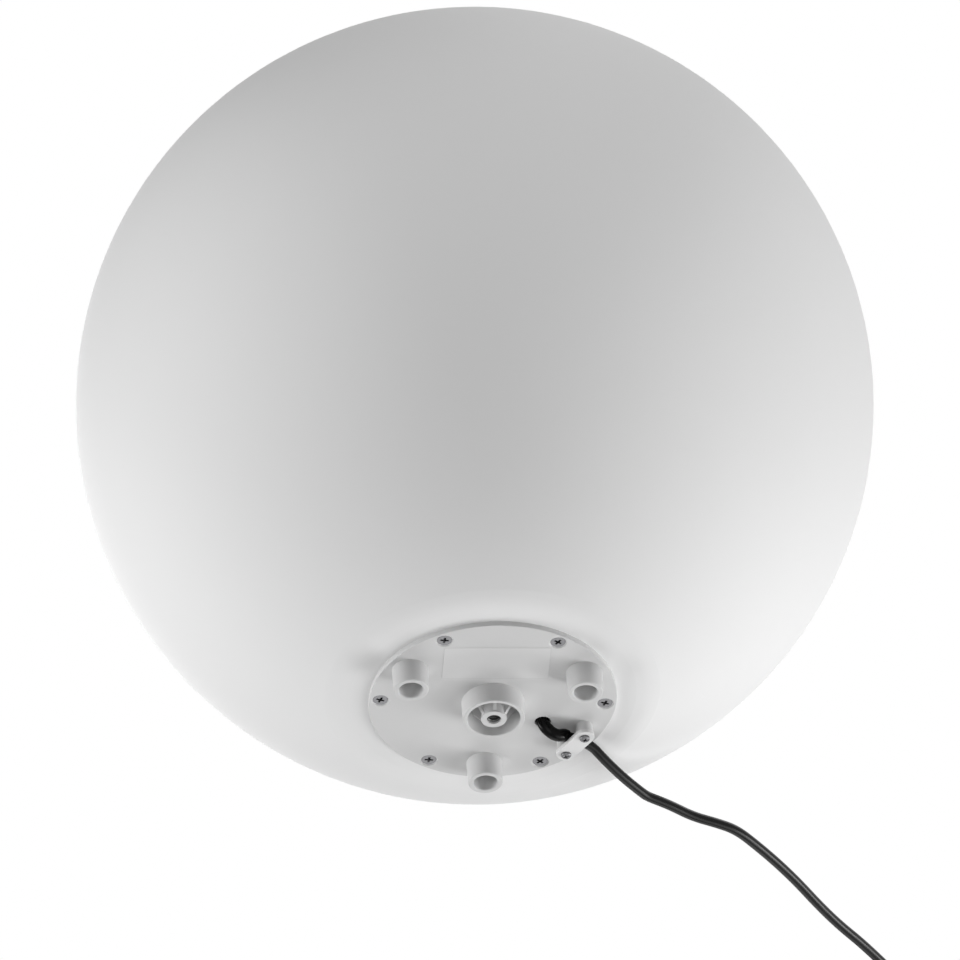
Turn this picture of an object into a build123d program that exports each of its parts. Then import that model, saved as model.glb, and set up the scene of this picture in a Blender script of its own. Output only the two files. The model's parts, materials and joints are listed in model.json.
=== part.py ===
"""Garden globe light: a hollow plastic ball on a moulded base plate, with a rubber mains lead.

Units are millimetres. +Z is up. The lamp stands on its three feet at z = 0, and the Z axis is the
ball's upright axis. The lead leaves the plate along cable_angle, and the length of it that isn't
in use lies in a coil on the ground behind the lamp, with its plug beside the coil.
"""
from build123d import *
import math
import os

os.makedirs("parts", exist_ok=True)

# ---------------------------------------------------------------- driving dimensions
# Ball
globe_radius = 250.0
globe_wall = 3.2
flat_blend = 36.0
seat_thickness = 4.5
mouth_radius = 52.0
screw_boss_radius = 8.0
screw_boss_height = 9.0
inner_blend = 12.0

# Base plate
foot_height = 15.5
plate_thickness = 3.2
plate_radius = 75.5
plate_edge_round = 0.6
spigot_height = 8.0
spigot_wall = 2.4
spigot_clearance = 0.4
draft_angle = 2.0

# Feet
foot_count = 3
foot_circle_radius = 61.0
foot_base_radius = 11.1
foot_bore_radius = 7.3
foot_bore_depth = 14.6
foot_rim_round = 0.9

# Collar, spike boss and its webs
collar_height = 13.1
collar_base_radius = 19.2
collar_bore_radius = 16.1
collar_rim_round = 0.6
boss_radius = 7.8
web_count = 6
web_thickness = 2.0
web_tip_drop = 0.7
web_root_overlap = 0.5
insert_radius = 6.3
insert_length = 12.0
insert_lip_thickness = 1.6
insert_lip_radius = 4.4
insert_fit = 0.02
spike_thread_radius = 3.325
spike_end_radius = 4.25
spike_end_depth = 2.4

# Gasket
gasket_width = 4.0
gasket_screw_clearance = 1.7
gasket_height = 1.6

# Screws that hold the plate to the ball
plate_screw_count = 6
plate_screw_circle_radius = 68.5
plate_screw_head_radius = 4.8
plate_screw_shank_radius = 2.3
plate_screw_length = 14.0
head_sink = 0.6
screw_hole_clearance = 0.25
pilot_clearance = 0.05
pilot_spare = 1.0
cross_span_share = 1.1
cross_slot_width = 1.3
cross_depth = 1.5
head_round_share = 0.6
countersink_angle = 90.0

# Mains lead
cord_radius = 3.1
cord_length = 5000.0
ground_clearance = 0.05
cable_angle = 30.0
cord_exit_run = 6.5
corner_share = 0.45
sleeve_radius = 3.9
sleeve_clearance = 0.1
lead_hole_setback = 18.7
lead_hole_shift = 0.9
lead_bend_radius = 10.0
lead_sag = 2.4
lead_sag_run = 12.0
lead_rise_run = 4.6
lead_sag_radius = 8.0
lead_rise_radius = 7.0
cable_hole_clearance = 1.1
cord_nip = 0.1
sleeve_end_gap = 0.3
sleeve_top_rise = 8.5
jacket_end_rise = 10.5

# Cord clamp
clamp_circle_radius = 60.9
clamp_screw_spacing = 19.6
clamp_bar_width = 12.0
clamp_bar_thickness = 2.4
clamp_bar_round = 0.5
clamp_post_radius = 5.2
clamp_ridge_height = 0.7
clamp_ridge_width = 2.0
clamp_ridge_length = 7.0
clamp_screw_head_radius = 3.1
clamp_screw_head_height = 1.9
clamp_screw_shank_radius = 1.45
clamp_screw_length = 9.0

# Terminal block inside the ball
block_place = 30.0
block_near_side = 10.0
block_length = 17.0
block_width = 16.0
block_height = 12.0
block_corner = 1.0
block_entry_rise = 6.0
block_pole_pitch = 8.0
block_entry_radius = 1.9
block_screw_radius = 1.7
block_screw_inset = 3.6
block_screw_sink = 0.8
block_pedestal_height = 9.3
core_radius = 1.1
core_pair_pitch = 2.6
core_bend_radius = 3.0
core_tuck = 5.0
core_loop_run = 9.0

# Pillar that carries the lamp holder
pillar_pad_height = 5.0
pillar_height = 30.0
pillar_radius = 15.0
pillar_wall = 2.4
pillar_top_thickness = 3.0
pillar_flange_radius = 23.5
pillar_flange_thickness = 3.0
pillar_window_radius = 4.5
pillar_window_rise = 12.0
pillar_screw_place = 19.4
holder_screw_place = 9.0
small_screw_head_radius = 2.9
small_screw_head_height = 1.8
small_screw_shank_radius = 1.4
pillar_screw_length = 9.0
holder_screw_length = 8.0
core_riser_place = 3.0

# Lamp holder
holder_radius = 20.0
holder_floor = 7.0
holder_top_gap = 0.8
holder_groove_depth = 0.8
holder_groove_width = 2.0
holder_groove_pitch = 6.0
holder_groove_count = 4
thread_sleeve_wall = 0.6
thread_sleeve_height = 24.0
thread_sleeve_seat = 0.05
contact_width = 7.0
contact_thickness = 0.8
contact_rise = 7.2
contact_length = 9.0

# Bulb
bulb_fit = 0.3
cap_radius = 13.2
cap_height = 27.0
cap_insulator_height = 4.0
cap_insulator_radius = 10.5
eyelet_radius = 4.8
eyelet_height = 1.6
bulb_neck_radius = 13.8
bulb_body_radius = 28.0
bulb_body_height = 42.0
bulb_rim_height = 6.0
bulb_dome_height = 27.0

# Coil of the length that isn't in use
coil_layers = 4
half_turns_per_layer = 8
last_layer_half_turns = 9
half_turn_step = 3.6
reverse_step = 4.3
layer_rise = 6.7
coil_entry_x = 325.0
coil_entry_y = 315.0
coil_entry_heading = 50.0
coil_entry_run = 15.5
tail_drop_run = 50.0

# Tie round the coil
tie_width = 8.0
tie_thickness = 0.8
tie_clearance = 0.4
tie_corner = 3.0
tie_angle = 100.0

# Plug
plug_half_thickness = 13.0
plug_width = 36.0
plug_corner = 12.5
plug_body_length = 30.0
plug_shoulder_length = 10.0
plug_neck_radius = 7.0
plug_relief_length = 34.0
plug_relief_tip_radius = 4.4
plug_relief_rings = 6
plug_ring_pitch = 4.4
plug_ring_width = 1.6
plug_ring_depth = 0.8
plug_edge_round = 1.5
pin_spacing = 19.0
pin_radius = 2.4
pin_length = 19.0
pin_tip_round = 1.2
pin_root_depth = 8.0
pin_root_radius = 1.9
pin_fit = 0.02

# ---------------------------------------------------------------- derived levels and places
globe_centre_z = globe_radius
plate_face_z = foot_height
seat_z = plate_face_z + plate_thickness
seat_inner_z = seat_z + seat_thickness
gasket_outer_radius = plate_screw_circle_radius - plate_screw_head_radius - gasket_screw_clearance
gasket_inner_radius = gasket_outer_radius - gasket_width
spigot_radius = mouth_radius - spigot_clearance
collar_tip_z = plate_face_z - collar_height
insert_mouth_z = collar_tip_z + insert_lip_thickness
insert_end_z = insert_mouth_z + insert_length
cord_axis_z = plate_face_z - clamp_ridge_height - cord_nip - cord_radius
cord_low_z = cord_radius + ground_clearance
end_run = 2 * cord_radius
clamp_bar_top_z = cord_axis_z - cord_radius - cord_nip
clamp_bar_bottom_z = clamp_bar_top_z - clamp_bar_thickness
cord_exit_place = clamp_circle_radius + clamp_bar_width / 2
sleeve_end_place = clamp_circle_radius - clamp_bar_width / 2 - sleeve_end_gap
lead_hole_place = clamp_circle_radius - clamp_bar_width / 2 - lead_hole_setback
sleeve_top_z = seat_z + sleeve_top_rise
jacket_end_z = seat_z + jacket_end_rise
block_base_z = seat_z + block_pedestal_height
core_entry_z = block_base_z + block_entry_rise
pillar_base_z = seat_z + pillar_pad_height
pillar_top_z = pillar_base_z + pillar_height
holder_floor_z = pillar_top_z + holder_floor
eyelet_z = holder_floor_z + contact_rise + bulb_fit
cap_top_z = eyelet_z + cap_height
holder_top_z = cap_top_z - holder_top_gap
thread_sleeve_radius = cap_radius + bulb_fit + thread_sleeve_wall
coil_base_z = cord_low_z + tie_thickness + tie_clearance
plug_axis_z = plug_half_thickness + ground_clearance

SIDES = (-1, 1)
UP = Plane.XY
DOWN = Plane(origin=(0, 0, 0), x_dir=(1, 0, 0), z_dir=(0, 0, -1))


def cable_point(place, aside, height):
    """Point beside the lead's upright plane: place along cable_angle, aside to the left of it."""
    turn = math.radians(cable_angle)
    return Vector(
        place * math.cos(turn) - aside * math.sin(turn),
        place * math.sin(turn) + aside * math.cos(turn),
        height,
    )


def level(height):
    """Level plane whose X axis runs along cable_angle."""
    return Plane(origin=(0, 0, height), x_dir=cable_point(1, 0, 0), z_dir=(0, 0, 1))


def rounded_route(points, radii):
    """Straight runs that tangent arcs join."""
    with BuildLine() as route:
        FilletPolyline(*points, radius=radii)
    return route.wire()


def tube(route, radius):
    """Round bar along a route."""
    with BuildPart() as bar:
        with BuildSketch(Plane(origin=route @ 0, z_dir=route % 0)):
            Circle(radius)
        sweep(path=route)
    return bar.part


def pan_screw(head_radius, head_height, shank_radius, length, slot_width, slot_depth):
    """Pan head screw with a cross recess. Its seat is at the origin and its shank points along +Z."""
    with BuildPart() as screw:
        with BuildSketch(Plane.XZ) as half_section:
            Polygon(
                (0, -head_height),
                (head_radius, -head_height),
                (head_radius, 0),
                (shank_radius, 0),
                (shank_radius, length - shank_radius),
                (0, length),
                align=None,
            )
            head_corner = half_section.vertices().group_by(Axis.Y)[0].sort_by(Axis.X)[-1]
            fillet(head_corner, head_round_share * head_height)
        revolve(axis=Axis.Z)
        with BuildSketch(DOWN.offset(head_height)):
            Rectangle(head_radius * cross_span_share, slot_width)
            Rectangle(slot_width, head_radius * cross_span_share)
        extrude(amount=-slot_depth, mode=Mode.SUBTRACT)
    return screw.part


# ---------------------------------------------------------------- ball
with BuildPart() as globe_shell:
    with BuildSketch(Plane.XZ) as ball_section:
        with Locations((0, globe_centre_z)):
            Circle(globe_radius)
        with Locations((0, seat_z)):
            Rectangle(2 * globe_radius, globe_radius, align=(Align.CENTER, Align.MAX), mode=Mode.SUBTRACT)
        fillet(ball_section.vertices().group_by(Axis.Z)[0], flat_blend)
        Rectangle(globe_radius, 3 * globe_radius, align=(Align.MAX, Align.MIN), mode=Mode.SUBTRACT)
    revolve(axis=Axis.Z)
    with BuildSketch(Plane.XZ) as hollow_section:
        with Locations((0, globe_centre_z)):
            Circle(globe_radius - globe_wall)
        with Locations((0, seat_inner_z)):
            Rectangle(2 * globe_radius, globe_radius, align=(Align.CENTER, Align.MAX), mode=Mode.SUBTRACT)
        fillet(hollow_section.vertices().group_by(Axis.Z)[0], inner_blend)
        Rectangle(globe_radius, 3 * globe_radius, align=(Align.MAX, Align.MIN), mode=Mode.SUBTRACT)
    revolve(axis=Axis.Z, mode=Mode.SUBTRACT)
    with BuildSketch(UP.offset(seat_z)):
        Circle(mouth_radius)
    extrude(amount=seat_thickness, mode=Mode.SUBTRACT)
    with BuildSketch(UP.offset(seat_inner_z)):
        with PolarLocations(plate_screw_circle_radius, plate_screw_count):
            Circle(screw_boss_radius)
    extrude(amount=screw_boss_height)
    with BuildSketch(UP.offset(seat_z)):
        with PolarLocations(plate_screw_circle_radius, plate_screw_count):
            Circle(plate_screw_shank_radius + pilot_clearance)
    extrude(amount=plate_screw_length - plate_thickness + pilot_spare, mode=Mode.SUBTRACT)
globe_shell.part.label = "globe_shell"
export_step(globe_shell.part, "parts/globe_shell.step")

# ---------------------------------------------------------------- base plate
with BuildPart() as base_plate:
    with BuildSketch(UP.offset(plate_face_z)):
        Circle(plate_radius)
    extrude(amount=plate_thickness)
    fillet(base_plate.edges().group_by(Axis.Z)[0], plate_edge_round)

    # feet: drafted tubes with a blind bore and a rounded rim
    with BuildSketch(UP.offset(plate_face_z)):
        with PolarLocations(foot_circle_radius, foot_count, start_angle=90):
            Circle(foot_base_radius)
    extrude(amount=-foot_height, taper=draft_angle)
    with BuildSketch(UP):
        with PolarLocations(foot_circle_radius, foot_count, start_angle=90):
            Circle(foot_bore_radius)
    extrude(amount=foot_bore_depth, mode=Mode.SUBTRACT)
    fillet(base_plate.edges().group_by(Axis.Z)[0], foot_rim_round)

    # collar round the spike boss
    with BuildSketch(UP.offset(plate_face_z)):
        Circle(collar_base_radius)
    extrude(amount=-collar_height, taper=draft_angle)
    with BuildSketch(UP.offset(collar_tip_z)):
        Circle(collar_bore_radius)
    extrude(amount=collar_height, mode=Mode.SUBTRACT)
    collar_rim = [
        edge
        for edge in base_plate.edges().filter_by(GeomType.CIRCLE)
        if math.isclose(edge.center().Z, collar_tip_z, abs_tol=collar_rim_round / 2)
        and edge.radius > boss_radius
        and math.isclose(edge.arc_center.X, 0, abs_tol=collar_rim_round)
    ]
    fillet(collar_rim, collar_rim_round)
    with BuildSketch(UP.offset(plate_face_z)):
        Circle(boss_radius)
    extrude(amount=-collar_height)

    # webs that stay the boss to the foot of the collar
    for web in range(web_count):
        web_turn = math.pi * (2 * web + 1) / web_count
        web_plane = Plane(
            origin=(0, 0, 0),
            x_dir=(math.cos(web_turn), math.sin(web_turn), 0),
            z_dir=(math.sin(web_turn), -math.cos(web_turn), 0),
        )
        with BuildSketch(web_plane):
            Polygon(
                (boss_radius - web_root_overlap, collar_tip_z + web_tip_drop),
                (collar_bore_radius + web_root_overlap, plate_face_z),
                (boss_radius - web_root_overlap, plate_face_z),
                align=None,
            )
        extrude(amount=web_thickness / 2, both=True)

    # seat of the moulded-in threaded insert behind its lip, with space for the end of the stud
    with BuildSketch(UP.offset(collar_tip_z)):
        Circle(insert_lip_radius)
    extrude(amount=insert_lip_thickness, mode=Mode.SUBTRACT)
    with BuildSketch(UP.offset(insert_mouth_z)):
        Circle(insert_radius + insert_fit)
    extrude(amount=insert_length, mode=Mode.SUBTRACT)
    with BuildSketch(UP.offset(insert_end_z)):
        Circle(spike_end_radius)
    extrude(amount=spike_end_depth, mode=Mode.SUBTRACT)

    # posts and ridge of the cord clamp
    with BuildSketch(level(plate_face_z)):
        with Locations(*[(clamp_circle_radius, side * clamp_screw_spacing / 2) for side in SIDES]):
            Circle(clamp_post_radius)
    extrude(amount=clamp_bar_top_z - plate_face_z)
    with BuildSketch(level(plate_face_z)):
        with Locations((clamp_circle_radius, 0)):
            Rectangle(clamp_ridge_width, clamp_ridge_length)
    extrude(amount=-clamp_ridge_height)
    with BuildSketch(level(clamp_bar_top_z)):
        with Locations(*[(clamp_circle_radius, side * clamp_screw_spacing / 2) for side in SIDES]):
            Circle(clamp_screw_shank_radius + pilot_clearance)
    extrude(amount=clamp_screw_length - clamp_bar_thickness + pilot_spare, mode=Mode.SUBTRACT)

    # hole that the lead comes through
    with BuildSketch(level(plate_face_z)):
        with Locations((lead_hole_place + lead_hole_shift, 0)):
            Circle(sleeve_radius + cable_hole_clearance)
    extrude(amount=plate_thickness, mode=Mode.SUBTRACT)

    # inner side: locating spigot, gasket groove, pillar pad and the terminal block's pedestal
    with BuildSketch(UP.offset(seat_z)):
        Circle(spigot_radius)
        Circle(spigot_radius - spigot_wall, mode=Mode.SUBTRACT)
    extrude(amount=spigot_height)
    with BuildSketch(UP.offset(seat_z)):
        Circle(gasket_outer_radius)
        Circle(gasket_inner_radius, mode=Mode.SUBTRACT)
    extrude(amount=-gasket_height, mode=Mode.SUBTRACT)
    with BuildSketch(UP.offset(seat_z)):
        Circle(pillar_flange_radius)
    extrude(amount=pillar_pad_height)
    with BuildSketch(level(seat_z)):
        with Locations((block_place, block_near_side + block_length / 2)):
            RectangleRounded(block_width, block_length, block_corner)
    extrude(amount=block_pedestal_height)
    with BuildSketch(level(pillar_base_z)):
        with Locations(*[(0, side * pillar_screw_place) for side in SIDES]):
            Circle(small_screw_shank_radius + pilot_clearance)
    extrude(amount=-(pillar_screw_length - pillar_flange_thickness + pilot_spare), mode=Mode.SUBTRACT)

    # countersunk holes for the plate screws
    with Locations(DOWN.offset(-plate_face_z)):
        with PolarLocations(plate_screw_circle_radius, plate_screw_count):
            CounterSinkHole(
                plate_screw_shank_radius + screw_hole_clearance,
                plate_screw_head_radius + head_sink,
                counter_sink_angle=countersink_angle,
            )
base_plate.part.label = "base_plate"
export_step(base_plate.part, "parts/base_plate.step")

# ---------------------------------------------------------------- gasket
with BuildPart() as gasket:
    with BuildSketch(UP.offset(seat_z - gasket_height)):
        Circle(gasket_outer_radius)
        Circle(gasket_inner_radius, mode=Mode.SUBTRACT)
    extrude(amount=gasket_height)
gasket.part.label = "gasket"
export_step(gasket.part, "parts/gasket.step")

# ---------------------------------------------------------------- threaded insert for the spike
with BuildPart() as spike_insert:
    with BuildSketch(UP.offset(insert_mouth_z)):
        Circle(insert_radius)
        Circle(spike_thread_radius, mode=Mode.SUBTRACT)
    extrude(amount=insert_length)
spike_insert.part.label = "spike_insert"
export_step(spike_insert.part, "parts/spike_insert.step")

# ---------------------------------------------------------------- plate screws
screw_head_z = plate_face_z + head_sink
screw_cone_z = screw_head_z + plate_screw_head_radius - plate_screw_shank_radius
screw_end_z = plate_face_z + plate_screw_length
with BuildPart() as plate_screws:
    with BuildSketch(Plane.XZ):
        with Locations((plate_screw_circle_radius, 0)):
            Polygon(
                (0, screw_head_z),
                (plate_screw_head_radius, screw_head_z),
                (plate_screw_shank_radius, screw_cone_z),
                (plate_screw_shank_radius, screw_end_z - plate_screw_shank_radius),
                (0, screw_end_z),
                align=None,
            )
    revolve(axis=Axis((plate_screw_circle_radius, 0, 0), (0, 0, 1)))
    with BuildSketch(UP.offset(screw_head_z)):
        with Locations((plate_screw_circle_radius, 0)):
            Rectangle(plate_screw_head_radius * cross_span_share, cross_slot_width)
            Rectangle(cross_slot_width, plate_screw_head_radius * cross_span_share)
    extrude(amount=cross_depth, mode=Mode.SUBTRACT)
    first_screw = plate_screws.part
    with PolarLocations(0, plate_screw_count):
        add(first_screw)
plate_screws.part.label = "plate_screws"
export_step(plate_screws.part, "parts/plate_screws.step")

# ---------------------------------------------------------------- cord clamp
clamp_screw_places = [(clamp_circle_radius, side * clamp_screw_spacing / 2) for side in SIDES]
with BuildPart() as clamp_bar:
    with BuildSketch(level(clamp_bar_bottom_z)):
        with Locations((clamp_circle_radius, 0)):
            SlotCenterToCenter(clamp_screw_spacing, clamp_bar_width, rotation=90)
    extrude(amount=clamp_bar_thickness)
    fillet(clamp_bar.edges().group_by(Axis.Z)[0], clamp_bar_round)
    with BuildSketch(level(clamp_bar_bottom_z)):
        with Locations(*clamp_screw_places):
            Circle(clamp_screw_shank_radius + screw_hole_clearance)
    extrude(amount=clamp_bar_thickness, mode=Mode.SUBTRACT)
clamp_bar.part.label = "clamp_bar"
export_step(clamp_bar.part, "parts/clamp_bar.step")

clamp_screw = pan_screw(
    clamp_screw_head_radius,
    clamp_screw_head_height,
    clamp_screw_shank_radius,
    clamp_screw_length,
    cross_slot_width * clamp_screw_head_radius / plate_screw_head_radius,
    cross_depth * clamp_screw_head_radius / plate_screw_head_radius,
)
with BuildPart() as clamp_screws:
    with Locations(level(clamp_bar_bottom_z)):
        with Locations(*clamp_screw_places):
            add(clamp_screw)
clamp_screws.part.label = "clamp_screws"
export_step(clamp_screws.part, "parts/clamp_screws.step")

# ---------------------------------------------------------------- lead held by the plate
lead_corners = [
    cable_point(lead_hole_place + lead_sag_run + lead_rise_run, 0, cord_axis_z),
    cable_point(lead_hole_place + lead_sag_run, 0, cord_axis_z - lead_sag),
    cable_point(lead_hole_place, 0, cord_axis_z - lead_sag),
]
lead_radii = [lead_rise_radius, lead_sag_radius, lead_bend_radius]
held_points = [
    cable_point(cord_exit_place, 0, cord_axis_z),
    *lead_corners,
    cable_point(lead_hole_place, 0, jacket_end_z),
]
with BuildPart() as cord_held:
    add(tube(rounded_route(held_points, lead_radii), cord_radius))
cord_held.part.label = "cord_held"
export_step(cord_held.part, "parts/cord_held.step")

sleeve_points = [
    cable_point(sleeve_end_place, 0, cord_axis_z),
    *lead_corners,
    cable_point(lead_hole_place, 0, sleeve_top_z),
]
sleeve_route = rounded_route(sleeve_points, lead_radii)
with BuildPart() as cable_sleeve:
    add(tube(sleeve_route, sleeve_radius))
    add(tube(sleeve_route, cord_radius + sleeve_clearance), mode=Mode.SUBTRACT)
cable_sleeve.part.label = "cable_sleeve"
export_step(cable_sleeve.part, "parts/cable_sleeve.step")

# ---------------------------------------------------------------- terminal block
block_far_side = block_near_side + block_length
pole_places = [block_place + side * block_pole_pitch / 2 for side in SIDES]
block_screw_places = [
    (pole, along)
    for pole in pole_places
    for along in (block_near_side + block_screw_inset, block_far_side - block_screw_inset)
]
block_top_z = block_base_z + block_height
with BuildPart() as terminal_block:
    with BuildSketch(level(block_base_z)):
        with Locations((block_place, block_near_side + block_length / 2)):
            RectangleRounded(block_width, block_length, block_corner)
    extrude(amount=block_height)
    with BuildSketch(Plane(origin=cable_point(0, block_near_side, 0), x_dir=cable_point(1, 0, 0),
                           z_dir=cable_point(0, -1, 0))):
        with Locations(*[(pole, core_entry_z) for pole in pole_places]):
            Circle(block_entry_radius)
    extrude(amount=-block_length, mode=Mode.SUBTRACT)
    with BuildSketch(level(block_top_z)):
        with Locations(*block_screw_places):
            Circle(block_screw_radius + screw_hole_clearance)
    extrude(amount=core_entry_z - block_top_z, mode=Mode.SUBTRACT)
terminal_block.part.label = "terminal_block"
export_step(terminal_block.part, "parts/terminal_block.step")

with BuildPart() as terminal_screws:
    with BuildSketch(level(block_top_z - block_screw_sink)):
        with Locations(*block_screw_places):
            Circle(block_screw_radius)
    extrude(amount=core_entry_z + core_radius - block_top_z + block_screw_sink)
    with BuildSketch(level(block_top_z - block_screw_sink)):
        with Locations(*block_screw_places):
            Rectangle(2 * (block_screw_radius + screw_hole_clearance), cross_slot_width / 2)
    extrude(amount=-block_screw_sink, mode=Mode.SUBTRACT)
terminal_screws.part.label = "terminal_screws"
export_step(terminal_screws.part, "parts/terminal_screws.step")

with BuildPart() as supply_cores:
    for side, pole in zip(SIDES, pole_places):
        jacket_place = lead_hole_place + side * core_pair_pitch / 2
        core_route = [
            cable_point(jacket_place, 0, jacket_end_z),
            cable_point(jacket_place, 0, core_entry_z),
            cable_point(pole, block_near_side - core_bend_radius, core_entry_z),
            cable_point(pole, block_near_side + core_tuck, core_entry_z),
        ]
        add(tube(rounded_route(core_route, core_bend_radius), core_radius))
supply_cores.part.label = "supply_cores"
export_step(supply_cores.part, "parts/supply_cores.step")

# ---------------------------------------------------------------- pillar of the lamp holder
window_z = pillar_base_z + pillar_window_rise
with BuildPart() as holder_pillar:
    with BuildSketch(UP.offset(pillar_base_z)):
        Circle(pillar_flange_radius)
    extrude(amount=pillar_flange_thickness)
    with BuildSketch(UP.offset(pillar_base_z)):
        Circle(pillar_radius)
    extrude(amount=pillar_height)
    with BuildSketch(UP.offset(pillar_base_z)):
        Circle(pillar_radius - pillar_wall)
    extrude(amount=pillar_height - pillar_top_thickness, mode=Mode.SUBTRACT)
    with BuildSketch(Plane(origin=cable_point(0, 0, window_z), x_dir=cable_point(1, 0, 0),
                           z_dir=cable_point(0, -1, 0))):
        Circle(pillar_window_radius)
    extrude(amount=-pillar_flange_radius, mode=Mode.SUBTRACT)
    with BuildSketch(level(pillar_base_z)):
        with Locations(*[(0, side * pillar_screw_place) for side in SIDES]):
            Circle(small_screw_shank_radius + screw_hole_clearance)
    extrude(amount=pillar_flange_thickness, mode=Mode.SUBTRACT)
    with BuildSketch(level(pillar_top_z)):
        with Locations(*[(side * holder_screw_place, 0) for side in SIDES]):
            Circle(small_screw_shank_radius + screw_hole_clearance)
        with Locations((0, core_riser_place)):
            Circle(pillar_window_radius)
    extrude(amount=-pillar_top_thickness, mode=Mode.SUBTRACT)
holder_pillar.part.label = "holder_pillar"
export_step(holder_pillar.part, "parts/holder_pillar.step")

small_slot_width = cross_slot_width * small_screw_head_radius / plate_screw_head_radius
small_slot_depth = cross_depth * small_screw_head_radius / plate_screw_head_radius
pillar_screw = pan_screw(
    small_screw_head_radius,
    small_screw_head_height,
    small_screw_shank_radius,
    pillar_screw_length,
    small_slot_width,
    small_slot_depth,
)
with BuildPart() as pillar_screws:
    for side in SIDES:
        seat_point = cable_point(0, side * pillar_screw_place, pillar_base_z + pillar_flange_thickness)
        with Locations(Plane(origin=seat_point, x_dir=(1, 0, 0), z_dir=(0, 0, -1))):
            add(pillar_screw)
pillar_screws.part.label = "pillar_screws"
export_step(pillar_screws.part, "parts/pillar_screws.step")

holder_screw = pan_screw(
    small_screw_head_radius,
    small_screw_head_height,
    small_screw_shank_radius,
    holder_screw_length,
    small_slot_width,
    small_slot_depth,
)
with BuildPart() as holder_screws:
    for side in SIDES:
        seat_point = cable_point(side * holder_screw_place, 0, pillar_top_z - pillar_top_thickness)
        with Locations(Plane(origin=seat_point, x_dir=(1, 0, 0), z_dir=(0, 0, 1))):
            add(holder_screw)
holder_screws.part.label = "holder_screws"
export_step(holder_screws.part, "parts/holder_screws.step")

# ---------------------------------------------------------------- cores up to the lamp holder
with BuildPart() as holder_cores:
    for side, pole in zip(SIDES, pole_places):
        riser = -side * core_pair_pitch / 2
        outer_turn = block_far_side + core_loop_run + side * core_pair_pitch
        core_route = [
            cable_point(pole, block_far_side - core_tuck, core_entry_z),
            cable_point(pole, outer_turn, core_entry_z),
            cable_point(riser, outer_turn, window_z),
            cable_point(riser, core_riser_place, window_z),
            cable_point(riser, core_riser_place, pillar_top_z),
        ]
        add(tube(rounded_route(core_route, core_bend_radius), core_radius))
holder_cores.part.label = "holder_cores"
export_step(holder_cores.part, "parts/holder_cores.step")

# ---------------------------------------------------------------- lamp holder
with BuildPart() as lamp_holder:
    with BuildSketch(UP.offset(pillar_top_z)):
        Circle(holder_radius)
    extrude(amount=holder_top_z - pillar_top_z)
    fillet(lamp_holder.edges().group_by(Axis.Z)[-1], holder_groove_width / 2)
    with BuildSketch(UP.offset(holder_floor_z)):
        Circle(thread_sleeve_radius + thread_sleeve_seat)
    extrude(amount=holder_top_z - holder_floor_z, mode=Mode.SUBTRACT)
    for groove in range(holder_groove_count):
        with BuildSketch(UP.offset(holder_floor_z + groove * holder_groove_pitch)):
            Circle(holder_radius + holder_groove_depth)
            Circle(holder_radius - holder_groove_depth, mode=Mode.SUBTRACT)
        extrude(amount=holder_groove_width, mode=Mode.SUBTRACT)
    with BuildSketch(level(pillar_top_z)):
        with Locations(*[(side * holder_screw_place, 0) for side in SIDES]):
            Circle(small_screw_shank_radius + pilot_clearance)
    extrude(amount=holder_screw_length - pillar_top_thickness + pilot_spare, mode=Mode.SUBTRACT)
lamp_holder.part.label = "lamp_holder"
export_step(lamp_holder.part, "parts/lamp_holder.step")

with BuildPart() as thread_sleeve:
    with BuildSketch(UP.offset(holder_top_z - thread_sleeve_height)):
        Circle(thread_sleeve_radius)
        Circle(cap_radius + bulb_fit, mode=Mode.SUBTRACT)
    extrude(amount=thread_sleeve_height)
thread_sleeve.part.label = "thread_sleeve"
export_step(thread_sleeve.part, "parts/thread_sleeve.step")

with BuildPart() as centre_contact:
    with BuildSketch(Plane.XZ.offset(-contact_width / 2)) as contact_section:
        with BuildLine() as contact_line:
            Polyline(
                (-contact_length, holder_floor_z + contact_thickness / 2),
                (0, holder_floor_z + contact_thickness / 2),
                (contact_length / 2, holder_floor_z + contact_rise - contact_thickness / 2),
                (-contact_length / 2, holder_floor_z + contact_rise - contact_thickness / 2),
            )
            offset(amount=contact_thickness / 2, kind=Kind.INTERSECTION, side=Side.BOTH)
        make_face()
    extrude(amount=contact_width)
centre_contact.part.label = "centre_contact"
export_step(centre_contact.part, "parts/centre_contact.step")

# ---------------------------------------------------------------- bulb
cap_shell_z = eyelet_z + eyelet_height + cap_insulator_height
with BuildPart() as bulb_cap:
    with BuildSketch(UP.offset(cap_shell_z)):
        Circle(cap_radius)
    extrude(amount=cap_top_z - cap_shell_z)
    chamfer(bulb_cap.edges().group_by(Axis.Z)[0], (cap_radius - cap_insulator_radius) / 2)
bulb_cap.part.label = "bulb_cap"
export_step(bulb_cap.part, "parts/bulb_cap.step")

with BuildPart() as cap_insulator:
    with BuildSketch(UP.offset(eyelet_z + eyelet_height)):
        Circle(eyelet_radius)
    with BuildSketch(UP.offset(cap_shell_z)):
        Circle(cap_insulator_radius)
    loft(ruled=True)
cap_insulator.part.label = "cap_insulator"
export_step(cap_insulator.part, "parts/cap_insulator.step")

with BuildPart() as cap_eyelet:
    with BuildSketch(UP.offset(eyelet_z)):
        Circle(eyelet_radius)
    extrude(amount=eyelet_height)
    fillet(cap_eyelet.edges().group_by(Axis.Z)[0], eyelet_height / 2)
cap_eyelet.part.label = "cap_eyelet"
export_step(cap_eyelet.part, "parts/cap_eyelet.step")

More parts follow.
